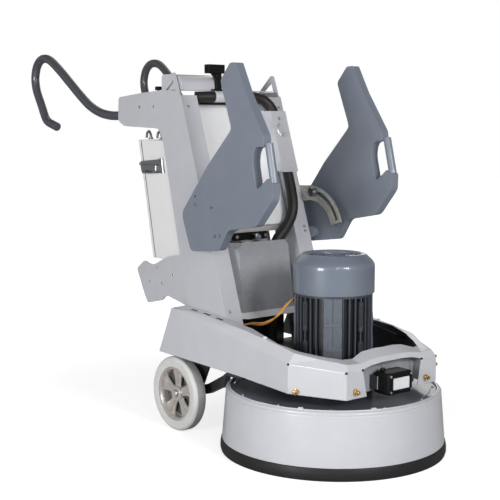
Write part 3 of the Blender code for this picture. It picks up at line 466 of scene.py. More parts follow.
def flat(outlines, thickness, matrix):
    """A flat plate: the first outline with the others as holes."""
    obj = line_curve(outlines, True, dimensions="2D", fill_mode="BOTH", extrude=thickness / 2)
    obj.matrix_world = matrix
    return baked(obj)


def tube(points, radius, resolution=6):
    """A round bar or hose along a list of points."""
    return baked(line_curve([points], False, dimensions="3D", bevel_depth=radius, bevel_resolution=resolution,
                            use_fill_caps=True))


SIDE_ON = Matrix(((0, 0, 1, 0), (1, 0, 0, 0), (0, 1, 0, 0), (0, 0, 0, 1)))
FRONT_ON = Matrix(((1, 0, 0, 0), (0, 0, -1, 0), (0, 1, 0, 0), (0, 0, 0, 1)))


def side_plate(outlines, x_from, x_to):
    return flat(outlines, abs(x_to - x_from), Matrix.Translation(((x_from + x_to) / 2, 0, 0)) @ SIDE_ON)


def front_plate(outlines, y_from, y_to):
    return flat(outlines, abs(y_to - y_from), Matrix.Translation((0, (y_from + y_to) / 2, 0)) @ FRONT_ON)


def level_plate(outlines, z_from, z_to):
    return flat(outlines, abs(z_to - z_from), Matrix.Translation((0, 0, (z_from + z_to) / 2)))


def circle(radius, segments, centre=(0, 0)):
    return [(centre[0] + radius * cos(tau * i / segments), centre[1] + radius * sin(tau * i / segments))
            for i in range(segments)]


def turned(profile, segments=144, closed=True):
    """A profile of (radius, height) points, down its outer side, turned round Z."""
    mesh = bpy.data.meshes.new("piece")
    edges = [(i, i + 1) for i in range(len(profile) - 1)]
    if closed:
        edges.append((len(profile) - 1, 0))
    mesh.from_pydata([(radius, 0, height) for radius, height in profile], edges, [])
    return modified(new_object(mesh), "SCREW", steps=segments, render_steps=segments, use_merge_vertices=True,
                    merge_threshold=0.00002, use_smooth_shade=False)


def smooth_route(knots, steps):
    """Points of a smooth curve through the knots."""
    places = [Vector(knot) for knot in knots]
    places = [2 * places[0] - places[1]] + places + [2 * places[-1] - places[-2]]
    route = []
    for index in range(1, len(places) - 2):
        before, here, there, after = places[index - 1:index + 3]
        for step in range(steps):
            t = step / steps
            route.append(0.5 * (2 * here + (there - before) * t
                                + (2 * before - 5 * here + 4 * there - after) * t ** 2
                                + (3 * here - before - 3 * there + after) * t ** 3))
    route.append(places[-2])
    return [tuple(place) for place in route]


def hex_bolt(seat, outward, radius, height):
    """A hexagon head on its washer."""
    seat, outward = Vector(seat), Vector(outward).normalized()
    washer = stub(seat, outward, 0, height * 0.22, radius * 1.35)
    head = stub(seat, outward, height * 0.2, height, radius, 6)
    return merged(bevelled(washer, radius * 0.08, 1), bevelled(head, radius * 0.12, 2))


def button_bolt(seat, outward, radius, height):
    """A low round head with a round socket."""
    shape = ((0.0, 0.55), (0.42, 0.55), (0.46, 1), (0.62, 1), (0.86, 0.72), (1, 0.25), (1, 0.0), (0.0, 0.0))
    head = turned([(radius * across, height * up) for across, up in shape], 20, closed=False)
    return placed(head, seat, facing(Vector(outward).normalized()))


def finish(obj, name, material, stands_for=(), body="machine", slot=None, crease=32):
    """Place a head-frame piece in the row frame, with its material, its body and what it replaces."""
    obj.name = name
    obj.data.transform(Matrix.Translation((0, HEAD_Y, 0)))
    obj.data.materials.clear()
    obj.data.materials.append(material)
    if crease:
        obj.data.shade_smooth()
        obj.data.set_sharp_from_angle(angle=radians(crease))
    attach(obj, body)
    if stands_for:
        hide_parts(stands_for)
    return obj


def repaint(obj, material, chosen):
    """Give the chosen faces of a finished piece another paint; chosen reads a centre and a normal."""
    obj.data.materials.append(material)
    shift = Vector((0, -HEAD_Y, 0))
    for face in obj.data.polygons:
        if chosen(face.center + shift, face.normal):
            face.material_index = 1


def node_copy(cad_node):
    """A CAD node's mesh in the head frame, with flat regions as single faces."""
    mesh = NODES[cad_node].data.copy()
    mesh.transform(Matrix.Translation((0, -HEAD_Y, 0)))
    builder = welded(mesh, 0.00002)
    bmesh.ops.dissolve_limit(builder, angle_limit=radians(1.5), verts=builder.verts, edges=builder.edges)
    builder.to_mesh(mesh)
    builder.free()
    return new_object(mesh)


def head_box(cad_node):
    """A CAD node's lowest and highest corner in the head frame."""
    return [corner - Vector((0, HEAD_Y, 0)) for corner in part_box(cad_node)]


def gather(parts, name, material, stands_for=(), **where):
    """Several solids finished as one piece."""
    return finish(merged(*parts), name, material, stands_for, **where)


def ring_of(count, radius, z):
    """Places on a circle round the motor's axis, the first half a step from +X."""
    return [(radius * cos(tau * (i + 0.5) / count), radius * sin(tau * (i + 0.5) / count), z)
            for i in range(count)]


def rectangle(half, low, high):
    return [(-half, low), (half, low), (half, high), (-half, high)]


def turned_to(obj, angle):
    """A piece drawn facing +X, turned to an angle in degrees round Z."""
    return placed(obj, (0, 0, 0), Matrix.Rotation(radians(angle), 4, "Z"))


def bend(obj, chosen, width, segments=4):
    """Round the chosen edges with a sheet's bending radius."""
    builder = bmesh.new()
    builder.from_mesh(obj.data)
    edges = [edge for edge in builder.edges if len(edge.link_faces) == 2 and chosen(edge)]
    bmesh.ops.bevel(builder, geom=edges, offset=width, offset_type="OFFSET", segments=segments, profile=0.5,
                    affect="EDGES", clamp_overlap=True)
    builder.to_mesh(obj.data)
    builder.free()
    return obj


def refined(cad_node, material, width, segments=2, angle=30, chosen=None, radius=0.0, slot=None):
    """A CAD node again with its edges rounded, and its chosen bends rounded further."""
    obj = node_copy(cad_node)
    if chosen:
        bend(obj, chosen, radius)
    obj = weighted(bevelled(obj, width, segments, angle))
    return finish(obj, cad_node + "_shell", material, cad_node, NODES[cad_node]["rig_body"], slot, crease=0)


# ---------------------------------------------------------------- grinding head

def shroud():
    """The steel drum cover: a leaning wall, a groove under its rolled shoulder and a narrow top flange."""
    outer = SHROUD_SIZE.x / 2
    foot, top = SHROUD_LOW.z, SHROUD_HIGH.z
    deck = DECK_SIZE.x / 2 + 0.001
    profile = [(deck, top), (0.3235, top), (0.3235, top - 0.003), (0.327, top - 0.003), (0.3325, top - 0.007),
               (0.3330, top - 0.0125), (0.3314, top - 0.0140), (0.3316, top - 0.0165), (0.3334, top - 0.0180),
               (0.3338, top - 0.026), (outer, foot), (outer - 0.006, foot), (0.327, top - 0.022),
               (0.3235, top - 0.008), (deck, top - 0.007)]
    radii = [0.001, 0.001, 0.001, 0.002, 0.003, 0.0006, 0.0006, 0.0006, 0.0008, 0.004, 0.0006, 0.0006, 0.008,
             0.002, 0.0005]
    finish(turned(rounded(profile, radii), 180), "shroud_shell", LIGHT_GREY, "shroud_ring")


def skirt():
    """The rubber skirt: a fold against the wall, a bulged band and a narrow lower lip."""
    outer = SKIRT_SIZE.x / 2
    top = SKIRT_HIGH.z
    band, lip, inner = outer - 0.0002, outer - 0.0022, 0.338
    profile = [(0.3465, top), (0.3482, top - 0.006), (band, top - 0.016), (band, 0.008), (lip, 0.0068),
               (lip, 0.0008), (0.3462, 0.0), (0.340, 0.0), (inner, 0.004), (inner, top)]
    radii = [0.001, 0.002, 0.006, 0.0008, 0.0006, 0.001, 0.001, 0.002, 0.002, 0.0005]
    finish(turned(rounded(profile, radii, 3), 180), "skirt_shell", SKIRT_RUBBER, "rubber_skirt")


def deck():
    """The deck plate with its raised edge, a ring of screws and three small white tabs."""
    radius, top = DECK_SIZE.x / 2, DECK_HIGH.z
    edge, face, under, foot = top - 0.0004, top - 0.002, top - 0.006, DECK_LOW.z
    rib_outside, rib_inside, bore = 0.2835, 0.262, 0.060
    profile = [(radius, edge), (radius, under), (rib_outside, under), (rib_outside, foot), (rib_inside, foot),
               (rib_inside, under), (bore, under), (bore, face), (0.296, face), (0.300, edge)]
    radii = [0.0015, 0.0004, 0.001, 0.001, 0.001, 0.001, 0.0004, 0.0004, 0.002, 0.002]
    finish(turned(rounded(profile, radii, 3), 144), "deck_shell", DECK_GREY, "deck_plate")
    seats = ring_of(12, DECK_BOLT_CIRCLE, top - 0.0006)
    gather([button_bolt(seat, (0, 0, 1), 0.0045, 0.003) for seat in seats], "deck_screws", STEEL)
    tabs = []
    for angle in (-112, -20, 209):
        tab = bevelled(box((-0.0045, -0.007, 0), (0.0045, 0.007, 0.005)), 0.001)
        tabs.append(turned_to(placed(tab, (0.312, 0, edge)), angle))
    gather(tabs, "deck_tabs", TANK_WHITE)


def housing():
    """The gearbox collar between the deck and the motor."""
    low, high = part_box("head_housing")
    collar, flange, bore = 0.120, (high.x - low.x) / 2, 0.052
    profile = [(flange, high.z), (flange, FRAME_TOP + GAP), (collar, FRAME_TOP + GAP), (collar, low.z),
               (bore, low.z), (bore, high.z)]
    radii = [0.002, 0.001, 0.001, 0.001, 0.0005, 0.0005]
    finish(turned(rounded(profile, radii, 3), 96), "housing_shell", MOTOR_GREY, "head_housing")


def drum_set():
    """Everything that turns under the deck: the CAD shapes with their edges broken."""
    refined("planetary_drum", STEEL, 0.0010)
    refined("drive_belt", BLACK_RUBBER, 0.0008)
    for index in (1, 2, 3):
        refined(f"satellite_{index}", STEEL, 0.0012)
        refined(f"tool_plate_{index}", TOOL_IRON, 0.0014)


# ---------------------------------------------------------------- motor

FIN_COUNT = 36
FIN_RADIUS = 0.1203
FIN_ROOT = 0.106
PAD_ANGLES = (45, 135, 225, 315)
PAD_REACH = 11          # degrees either side of a pad that hold no fins
CASING_BORE = 0.0675
FLANGE_THICKNESS = 0.016
FLANGE_BOLT_CIRCLE = 0.135
UPRIGHT = Matrix.Rotation(pi / 2, 4, "Z")


def fin_outline():
    """Radial fins with a wide flat rib at each mounting pad."""
    points = []
    half_fin = 0.0015 / FIN_RADIUS
    fin = ((FIN_ROOT, 1.5), (FIN_RADIUS - 0.0008, 1.0), (FIN_RADIUS, 0.4))
    for index in range(FIN_COUNT):
        angle = tau / FIN_COUNT * index
        if min(abs((degrees(angle) - pad + 180) % 360 - 180) for pad in PAD_ANGLES) < PAD_REACH:
            continue
        for radius, offset in [(r, -w) for r, w in fin] + list(reversed(fin)):
            turn = angle + half_fin * offset
            points.append((radius * cos(turn), radius * sin(turn)))
    return points


def mounting_pad(angle, low, high):
    """A pad for a foot: a grooved rib with two stepped shelves."""
    rib = placed(front_plate([rectangle(0.028, low, high)], 0, 0.012), (0.1195, 0, 0), UPRIGHT)
    groove = box((0.1178, -0.0012, low - 0.01), (0.13, 0.0012, high + 0.01))
    parts = [cut(rib, groove)]
    root = 0.112
    for shelf in (high - 0.086, high - 0.160):
        parts.append(box((root, -0.0275, shelf), (0.1215, 0.0275, shelf + 0.012)))
        for left in (-0.026, 0.014):
            parts.append(box((root, left, shelf + 0.0122), (0.1212, left + 0.012, shelf + 0.026)))
    return turned_to(bevelled(merged(*parts), 0.0008, 1), angle)


def tie_lug(angle, low, high):
    """A long rib for the end shield's tie bolt, with a square boss at its foot."""
    seat = (0.1205, 0, 0)
    rail = front_plate([rounded(rectangle(0.007, low, high), 0.006, 4)], 0, 0.010)
    slot = front_plate([rounded(rectangle(0.004, low + 0.004, high - 0.006), 0.0035, 4)], -0.01, 0.004)
    rail = cut(placed(rail, seat, UPRIGHT), placed(slot, seat, UPRIGHT))
    boss = bevelled(box((0.108, -0.0065, low - 0.010), (0.1222, 0.0065, low + 0.006)), 0.0015)
    bolt = cylinder((0.1215, 0, low - 0.002), (0.1234, 0, low - 0.002), 0.003, 16)
    return turned_to(merged(rail, boss, bolt), angle)


def motor():
    """The finned casing, its mounting pads, its end shields and the flange at its foot."""
    foot = MOTOR_LOW.z
    low, high = foot + FLANGE_THICKNESS, MOTOR_HIGH.z
    flange = MOTOR_SIZE.x / 2
    body = level_plate([fin_outline(), circle(CASING_BORE, 48)], low - 0.001, high - 0.004)
    finish(bevelled(body, 0.0004, 1, 60), "casing_fins", FIN_GREY, "motor_casing")
    pads = [mounting_pad(angle, low + 0.012, high - 0.006) for angle in PAD_ANGLES[1:]]
    gather(pads, "casing_pads", PAD_GREY)
    lugs = []
    for angle in (180, 270, 0):
        lugs.append(tie_lug(angle, low + 0.125, high - 0.020))
        lugs.append(tie_lug(angle, low + 0.030, low + 0.085))
    gather(lugs, "casing_lugs", MOTOR_GREY)
    shield = [(0.1185, high), (0.1185, high - 0.008), (CASING_BORE, high - 0.008), (CASING_BORE, high)]
    collar = [(flange - 0.012, low), (flange, foot + 0.008), (flange, foot), (0.0665, foot),
              (0.0665, low + 0.010), (0.1165, low + 0.010), (0.1215, low + 0.004), (0.1215, low)]
    ends = [turned(rounded(shield, 0.001, 2), 96), turned(rounded(collar, 0.002, 3), 96)]
    gather(ends, "casing_ends", MOTOR_GREY)
    seats = ring_of(8, FLANGE_BOLT_CIRCLE, low + 0.0005)
    gather([hex_bolt(seat, (0, 0, 1), 0.0075, 0.008) for seat in seats], "flange_bolts", STEEL)


def cowl():
    """The pressed fan cowl: a rolled shoulder, a dished top with an air grille, and its screws."""
    low, top = COWL_LOW.z, COWL_HIGH.z
    radius = COWL_SIZE.x / 2
    outer = [(0.079, top - 0.0065), (0.082, top - 0.001), (0.086, top), (0.0945, top), (0.098, top - 0.0016),
             (0.119, top - 0.021), (radius - 0.0012, top - 0.030), (radius, top - 0.040), (radius, low)]
    inner = [(radius - 0.0025, low), (radius - 0.0025, top - 0.040), (0.117, top - 0.0235),
             (0.095, top - 0.004), (0.079, top - 0.009)]
    radii = [0.001, 0.002, 0.002, 0.003, 0.002, 0.010, 0.006, 0.008, 0.0006] + [0.0006] * 5
    finish(turned(rounded(outer + inner, radii, 4), 160), "cowl_shell", COWL_GREY, "fan_cowl")
    grille, half_bar = [], 0.0048
    for middle in (0.022, 0.036, 0.050, 0.064):
        far, near = middle + half_bar, middle - half_bar
        ring = [(far, top - 0.007), (far, top - 0.0095), (near, top - 0.0095), (near, top - 0.007)]
        grille.append(turned(rounded(ring, 0.0008, 2), 72))
    hub = [(0.0, top - 0.006), (0.012, top - 0.006), (0.0135, top - 0.0075), (0.0135, top - 0.0095),
           (0.0, top - 0.0095)]
    grille.append(turned(hub, 48, closed=False))
    for index in range(6):
        spoke = bevelled(box((0.010, -0.004, top - 0.0098), (0.0805, 0.004, top - 0.0072)), 0.0006, 1)
        grille.append(turned_to(spoke, 60 * index + 20))
    gather(grille, "cowl_grille", COWL_GREY)
    seat = (radius - 0.0016, 0, low + 0.012)
    screws = [turned_to(button_bolt(seat, (1, 0, 0), 0.0045, 0.0016), 90 * index + 4) for index in range(4)]
    gather(screws, "cowl_screws", STEEL)
    refined("cooling_fan", BLACK_PLASTIC, 0.0008)
    refined("motor_rotor", STEEL, 0.0012)


def terminal_box():
    """The box for the motor's leads, turned to a rear corner: a lid, four screws and two glands."""
    low, high = Vector((-0.048, 0.1208, 0.384)), Vector((0.048, 0.178, 0.478))
    lid, inset = high.y - 0.012, 0.011
    body = bevelled(box(low, (high.x, lid - 0.0006, high.z)), 0.005, 3)
    cover = bevelled(box((low.x, lid, low.z), high), 0.0035, 3)
    screws = [button_bolt((x, high.y - 0.0008, z), (0, 1, 0), 0.004, 0.0022)
              for x in (low.x + inset, high.x - inset) for z in (low.z + inset, high.z - inset)]
    glands = [cylinder((low.x - 0.012, 0.149, z), (low.x + 0.001, 0.149, z), 0.0100, 6, 0.0105)
              for z in (0.452, 0.418)]
    finish(turned_to(merged(body, cover), TERMINAL_TURN), "terminal_shell", MOTOR_GREY, "terminal_box")
    finish(turned_to(merged(*glands), TERMINAL_TURN), "terminal_glands", BLACK_PLASTIC)
    finish(turned_to(merged(*screws), TERMINAL_TURN), "terminal_screws", STEEL)


TERMINAL_TURN = -45
CABLE_KNOTS = [
    (0.0712, 0.1395, 0.452), (0.059, 0.1517, 0.452), (0.043, 0.1645, 0.452), (0.015, 0.172, 0.449),
    (-0.019, 0.171, 0.444), (-0.036, 0.181, 0.426), (-0.0434, 0.200, 0.402), (-0.047, 0.235, 0.375),
    (-0.059, 0.270, 0.358), (-0.080, 0.308, 0.356), (-0.100, 0.338, 0.342), (-0.107, 0.350, 0.310),
    (-0.108, 0.352, 0.280), (-0.108, 0.352, 0.255), (-0.108, 0.352, FRAME_TOP + GAP)]


def motor_cable():
    """Two single cores, orange and tan, that wind slowly round each other along one route."""
    core = 0.0029
    for name, material, phase in (("orange", ORANGE, 0.0), ("tan", TAN, pi)):
        points = []
        for index, place in enumerate(smooth_route(CABLE_KNOTS, 6)):
            turn = phase + 0.22 * index
            points.append(Vector(place) + Vector((0, cos(turn), sin(turn))) * (core + 0.0001))
        finish(tube(points, core, 4), f"cable_{name}", material, () if phase else "motor_cable")


# ---------------------------------------------------------------- chassis

def fold_line(edge):
    """The hood's own creases: its long folds and the corners of its side walls."""
    first, second = (vertex.co for vertex in edge.verts)
    return edge.calc_face_angle(0) > radians(12) and (first - second).length > 0.02


def shaded_hood_inside(centre, normal):
    """The hood's inner faces, which take the dark coat as painted shade: its underside, and its walls where
    they look inwards.
    """
    walls = abs(centre.x) > 0.16 or centre.y < -0.15
    inwards = Vector((centre.x, centre.y - 0.1, 0)).normalized().dot(normal) < -0.5
    return normal.z < -0.25 or (walls and inwards and centre.z < 0.325)


def hood():
    """The folded steel hood with painted shade on its inner faces, its relief holes and the slots where the
    columns are welded in drawn as black stubs of painted shade, and its tabs.
    """
    shell = refined("chassis_hood", LIGHT_GREY, 0.0009, 2, 40, fold_line, 0.005)
    # painted shade: the hood's inner faces take the dark frame coat
    repaint(shell, FRAME_GREY, shaded_hood_inside)
    holes, slots, tabs = [], [], []
    corners = (((0.2695, -0.0935, 0.3150), (0.9, -0.4, 0.3)), ((0.1900, -0.2515, 0.3045), (0.4, -0.9, 0.3)),
               ((0.1255, -0.2515, 0.3045), (0.0, -1.0, 0.2)))
    for _, side in SIDES:
        for (x, y, z), (out_x, out_y, out_z) in corners:
            outward = Vector((side * out_x, out_y, out_z)).normalized()
            # painted shade: black stubs set into the sheet stand for the dark inside of the relief holes
            holes.append(stub(Vector((side * x, y, z)), outward, -0.003, 0.0008, 0.0036, 20))
        for y in (0.263, 0.327, 0.391):
            # painted shade: black blocks set into the hood's top stand for the dark inside of the slots
            slot = bevelled(box((-0.005, -0.016, -0.0012), (0.005, 0.016, 0.0009)), 0.0008, 1)
            slots.append(placed(slot, (side * 0.2400, y, hood_shoulder(y)), Matrix.Rotation(0.09, 4, "X")))
        tab = bevelled(box((-0.005, -0.004, -0.002), (0.005, 0.004, 0.004)), 0.001)
        tabs.append(placed(tab, (side * 0.2430, 0.040, 0.3690)))
    gather(holes, "hood_relief_holes", BLACK_PLASTIC)
    gather(slots, "hood_slots", BLACK_PLASTIC)
    gather(tabs, "hood_tabs", TANK_WHITE)


def hood_shoulder(y):
    """Height of the hood's top beside the columns."""
    return 0.381 + (y - 0.130) * 0.105 if y < 0.330 else 0.402 + (y - 0.330) * 0.057


def recess_face(centre, normal):
    """The upright wall behind the lamp."""
    return centre.y < -0.205 and centre.z > 0.24 and normal.y < -0.9


def chassis():
    """The dark frame, and the light grey lining of the lamp's recess with its small plate."""
    repaint(refined("chassis_frame", FRAME_GREY, 0.0012), COVER_GREY, recess_face)
    cheeks = []
    front, near, far = HOOD_FRONT + 0.0045, RECESS_FACE - 0.0008, RECESS_FACE - 0.0026
    cheek = ((0.1272, front), (0.1292, front), (0.1320, near), (0.1140, near), (0.1140, far), (0.1300, far))
    for _, side in SIDES:
        cheeks.append(level_plate([[(side * x, y) for x, y in cheek]], FRAME_TOP + GAP, 0.3150))
    gather(cheeks, "recess_cheeks", COVER_GREY)
    plate = bevelled(box((-0.008, -0.2145, 0.288), (0.008, -0.2125, 0.299)), 0.0006, 1)
    screws = [button_bolt((x, -0.2142, 0.2935), (0, -1, 0), 0.0022, 0.0012) for x in (-0.0048, 0.0048)]
    gather([plate, *screws], "recess_plate", ZINC)


def lamp():
    """The work lamp: a ribbed black housing with a bezel, four screws and a clear lens."""
    refined("lamp_housing", BLACK_PLASTIC, 0.0016, 2)
    low, high = head_box("lamp_housing")
    finish(node_copy("lamp_lens"), "lamp_lens_shell", LENS, "lamp_lens", body="lamp")
    rib, end, inset = 0.0022, 0.012, 0.010
    trim = []
    for index in range(5):
        y = high.y - 0.010 * (index + 1)
        for side in (low.x, high.x):
            trim.append(bevelled(box((side - rib, y - rib, low.z + end), (side + rib, y + rib, high.z - end)),
                                 0.0007, 1))
    screws = [button_bolt((x, low.y + 0.0006, z), (0, -1, 0), 0.0042, 0.0018)
              for x in (low.x + inset, high.x - inset) for z in (low.z + inset, high.z - inset)]
    bezel = [rounded(rectangle(0.041, 0.2318, 0.2782), 0.006),
             rounded(rectangle(0.0355, 0.2373, 0.2727), 0.004)]
    trim.append(front_plate(bezel, low.y - 0.0014, low.y + 0.001))
    gather(trim, "lamp_trim", BLACK_PLASTIC, body="lamp")
    gather(screws, "lamp_screws", STEEL, body="lamp")
    gland = stub(Vector((-0.030, high.y - 0.020, high.z)), Vector((0, 0, 1)), -0.002, 0.008, 0.009, 20, 0.007)
    finish(bevelled(gland, 0.001, 2), "lamp_gland", BLACK_PLASTIC, body="lamp")


def spray_nozzle(name, seat, outward, stands_for=()):
    """A brass nozzle: a hexagon on the sheet, a neck with a short pin across it, and its tip."""
    seat, outward = Vector(seat), Vector(outward).normalized()
    hexagon = bevelled(stub(seat, outward, 0, 0.0075, 0.009, 6), 0.0008, 2)
    neck = stub(seat, outward, 0.007, 0.0125, 0.0052)
    tip = bevelled(stub(seat, outward, 0.012, 0.0195, 0.0062, 24, 0.0045), 0.0006, 2)
    cross = stub(seat + outward * 0.0098, Vector((0, 0, 1)), -0.009, 0.007, 0.0035, 16)
    gather([hexagon, neck, tip, cross], name, BRASS, stands_for)


def nozzles():
    """Two nozzles on the hood's front, and one on each of its chamfers."""
    for name, x in (("left", -0.157), ("right", 0.139)):
        spray_nozzle(f"nozzle_front_{name}", (x, HOOD_FRONT - GAP, 0.247), (0, -1, 0), f"spray_nozzle_{name}")
    for name, side, along, height in (("left", -1, 0.15, 0.0115), ("right", 1, 0.78, 0.044)):
        outward = Vector((side * 0.159, -0.080, 0)).normalized()
        seat = Vector((side * 0.270, -0.093, 0.228)).lerp(Vector((side * 0.190, HOOD_FRONT, 0.225)), along)
        spray_nozzle(f"nozzle_side_{name}", seat + outward * GAP + Vector((0, 0, height)), outward)


# ---------------------------------------------------------------- columns

def column_front(z):
    """Y of the columns' sloping front edge at a height."""
    return 0.497 - (COLUMN_TOP - z) * COLUMN_SLOPE


def front_bend(edge):
    """The column's long corner between its side and its front flange."""
    first, second = (vertex.co for vertex in edge.verts)
    on_side = min(abs(first.x), abs(second.x)) > COLUMN_HALF - 0.0012
    along = (first - second).length > 0.1
    near = all(abs(point.y - column_front(point.z)) < 0.0016 for point in (first, second))
    return on_side and along and near


def columns():
    """The two folded columns, with the screws in their front flanges and their arms."""
    for name, side in SIDES:
        refined(f"column_{name}", COLUMN_GREY, 0.0009, 2, 40, front_bend, 0.006)
        x = side * (COLUMN_HALF - 0.020)
        bolts = [button_bolt((x, column_front(z) + 0.0002, z), (0, -1, COLUMN_SLOPE), 0.0052, 0.0026)
                 for z in (1.058, 0.655, 0.640, 0.412)]
        bolts += [button_bolt((side * (COLUMN_HALF - 0.0002), y, 1.060), (side, 0, 0), 0.005, 0.0012)
                  for y in (0.735, 0.650)]
        gather(bolts, f"column_bolts_{name}", STEEL)


def console():
    """The box across the columns' top, and the cable hook with its four rollers."""
    refined("cross_box", LIGHT_GREY, 0.0016, 3)
    refined("cable_hook", BLACK_PLASTIC, 0.0022, 3)
    low, high = head_box("cable_hook")
    seat = Vector((low.x, (low.y + high.y) / 2, high.z - 0.0145))
    rollers = [bevelled(stub(seat, Vector((1, 0, 0)), start, start + 0.0040, 0.0142), 0.0009, 2)
               for start in (0.0005, 0.0057, 0.0109, 0.0161)]
    gather(rollers, "hook_rollers", BLACK_PLASTIC)


def tank():
    """The moulded water tank with its soft edges, filler neck, ribbed cap, shelf and pump."""
    refined("water_tank", TANK_WHITE, 0.0030, 4)
    refined("tank_cap", BLACK_PLASTIC, 0.0020, 3)
    low, high = head_box("tank_cap")
    ribs = [turned_to(box((0.0290, -0.0016, -0.0058), (0.0306, 0.0016, 0.0050)), 15 * index)
            for index in range(24)]
    ribs = placed(merged(*ribs), (low + high) / 2, facing((0, -1, COLUMN_SLOPE)))
    finish(ribs, "cap_ribs", BLACK_PLASTIC, body="cap")
    refined("tank_shelf", ALUMINIUM, 0.0010)
    refined("water_pump", BLACK_PLASTIC, 0.0020, 3)
    lip = bevelled(box((-0.1455, 0.3700, 0.6470), (0.1455, 0.3735, 0.6650)), 0.001)
    finish(lip, "shelf_lip", ALUMINIUM)
    fittings = [hex_bolt((x, 0.366, 0.634), (0, -1, 0), 0.0048, 0.005) for x in (-0.086, 0.036)]
    x, z = -0.020, 0.635
    fittings.append(bevelled(cylinder((x, 0.338, z), (x, 0.3455, z), 0.0105, 6), 0.0008))
    fittings.append(cylinder((x, 0.330, z), (x, 0.339, z), 0.0065, 20))
    gather(fittings, "pump_fittings", STEEL)


HOSE_KNOTS = [
    (0.060, 0.362, FRAME_TOP + GAP), (0.060, 0.362, 0.320), (0.060, 0.362, 0.420), (0.061, 0.362, 0.520),
    (0.066, 0.361, 0.580), (0.084, 0.357, 0.622), (0.110, 0.350, 0.655), (0.132, 0.343, 0.700),
    (0.143, 0.352, 0.750), (0.149, 0.381, 0.830), (0.147, 0.410, 0.920), (0.145, 0.436, 1.000),
    (0.140, 0.454, 1.048), (0.120, 0.468, 1.078), (0.085, 0.478, 1.091), (0.030, 0.484, 1.0925),
    (-0.040, 0.487, 1.0925), (-0.105, 0.500, 1.0915), (-0.140, 0.520, 1.0905)]


def hose():
    """The suction hose with its collar and clip, and the bent guard with its bolt and hook."""
    finish(tube(smooth_route(HOSE_KNOTS, 8), HOSE_RADIUS, 7), "hose_shell", HOSE_BLACK, "dust_hose")
    collar = ring_at((0.060, 0.362, FRAME_TOP + 0.012), (0, 0, 1), HOSE_RADIUS + 0.004, 0.020)
    finish(collar, "hose_collar", BLACK_PLASTIC)
    clip = ring_at((-0.056, 0.4887, 1.0923), (-1, 0.13, 0), HOSE_RADIUS + 0.0008, 0.052)
    finish(clip, "hose_clip", LIGHT_GREY)
    refined("hose_guard", COLUMN_GREY, 0.0006, 2)
    z = 1.020
    bolt = button_bolt((0.140, column_front(z) - 0.0507, z), (0, -1, COLUMN_SLOPE), 0.0055, 0.003)
    finish(bolt, "guard_bolt", STEEL)
    hook = [(across, column_front(z) - 0.054, z) for across, z in (
        (0.133, 1.003), (0.126, 0.991), (0.126, 0.973), (0.134, 0.961), (0.143, 0.963), (0.147, 0.975))]
    finish(tube(smooth_route(hook, 4), 0.0032, 3), "guard_hook", ZINC)


def ring_at(centre, axis, radius, length):
    """A short collar round the hose."""
    return placed(bevelled(cylinder((0, 0, -length / 2), (0, 0, length / 2), radius, 40), 0.002, 3), centre,
                  facing(axis))


def sheet_metal():
    """The cover at the columns' foot, with its lower front faces white as a painted highlight on its bent
    lip, and the brackets behind the columns.
    """
    # partly painted shade: the cover takes the darker cover coat for the shade it sits in under the motor and
    # weights
    cover = refined("column_cover", COVER_GREY, 0.0007, 2, 40, fold_line, 0.003)
    # painted highlight: the cover's lower front faces take the white coat for the light caught on its lip
    repaint(cover, CABINET_WHITE, lambda centre, normal: centre.z < 0.395 and normal.y < -0.3)
    for name, _ in SIDES:
        refined(f"rear_bracket_{name}", COLUMN_GREY, 0.0010, 2)


# ---------------------------------------------------------------- electrical cabinet and controls

def cabinet():
    """The white cabinet: its body, the door's gasket, its latch and the hooks above it."""
    refined("cabinet_body", CABINET_WHITE, 0.0020, 3)
    refined("cabinet_door", CABINET_WHITE, 0.0012, 3)
    low, high = head_box("cabinet_body")
    foot, top, lean = low.z + 0.002, high.z - 0.002, 0.204
    seam = [(high.y - (high.z - z) * lean + across, z)
            for across, z in ((-0.0030, foot), (-0.0030, top), (-0.0002, top), (-0.0002, foot))]
    gather([side_plate([seam], side * (high.x + 0.0001), side * (high.x + 0.0006)) for _, side in SIDES],
           "door_gasket", BLACK_RUBBER)
    refined("inverter", FRAME_GREY, 0.0020, 2)
    refined("door_latch", STEEL, 0.0010, 2)
    low = head_box("door_latch")[0]
    fittings = [hex_bolt((low.x + 0.0098, low.y + across, z), (-1, 0, 0), 0.0042, 0.004)
                for across, z in ((0.022, 0.882), (0.136, 0.866))]
    lever = [(low.x + proud, low.y + along, z) for proud, along, z in (
        (0.004, 0.034, 0.846), (0.001, 0.060, 0.838), (0.001, 0.090, 0.838), (0.004, 0.116, 0.846))]
    fittings.append(tube(smooth_route(lever, 4), 0.0032, 3))
    gather(fittings, "latch_bolts", STEEL, body="latch")
    hooks, x = [], -0.183
    eye = ((-0.014, 0), (-0.014, 0.012), (-0.004, 0.026), (0.008, 0.020), (0.012, 0.004))
    for y in (0.664, 0.728):
        z = 0.949 + (y - 0.6) * 0.02
        hooks.append(tube(smooth_route([(x, y + along, z + up) for along, up in eye], 4), 0.0042, 3))
        hooks.append(hex_bolt((x, y - 0.014, z - 0.0004), (0, 0, 1), 0.0075, 0.007))
    gather(hooks, "cabinet_hooks", STEEL)


PANEL_LOW, PANEL_HIGH = Vector((0, 0.796, 1.040)), Vector((0, 0.704, 1.100))
PANEL_NORMAL = Vector((0, PANEL_HIGH.z - PANEL_LOW.z, PANEL_LOW.y - PANEL_HIGH.y)).normalized()


def laid_on_panel(obj, x):
    """A piece drawn on the X-Y plane, laid on the middle of the sloping panel."""
    across = Vector((1, 0, 0))
    turn = Matrix((across, PANEL_NORMAL.cross(across), PANEL_NORMAL)).transposed().to_4x4()
    return placed(obj, PANEL_LOW.lerp(PANEL_HIGH, 0.5) + across * x, turn)


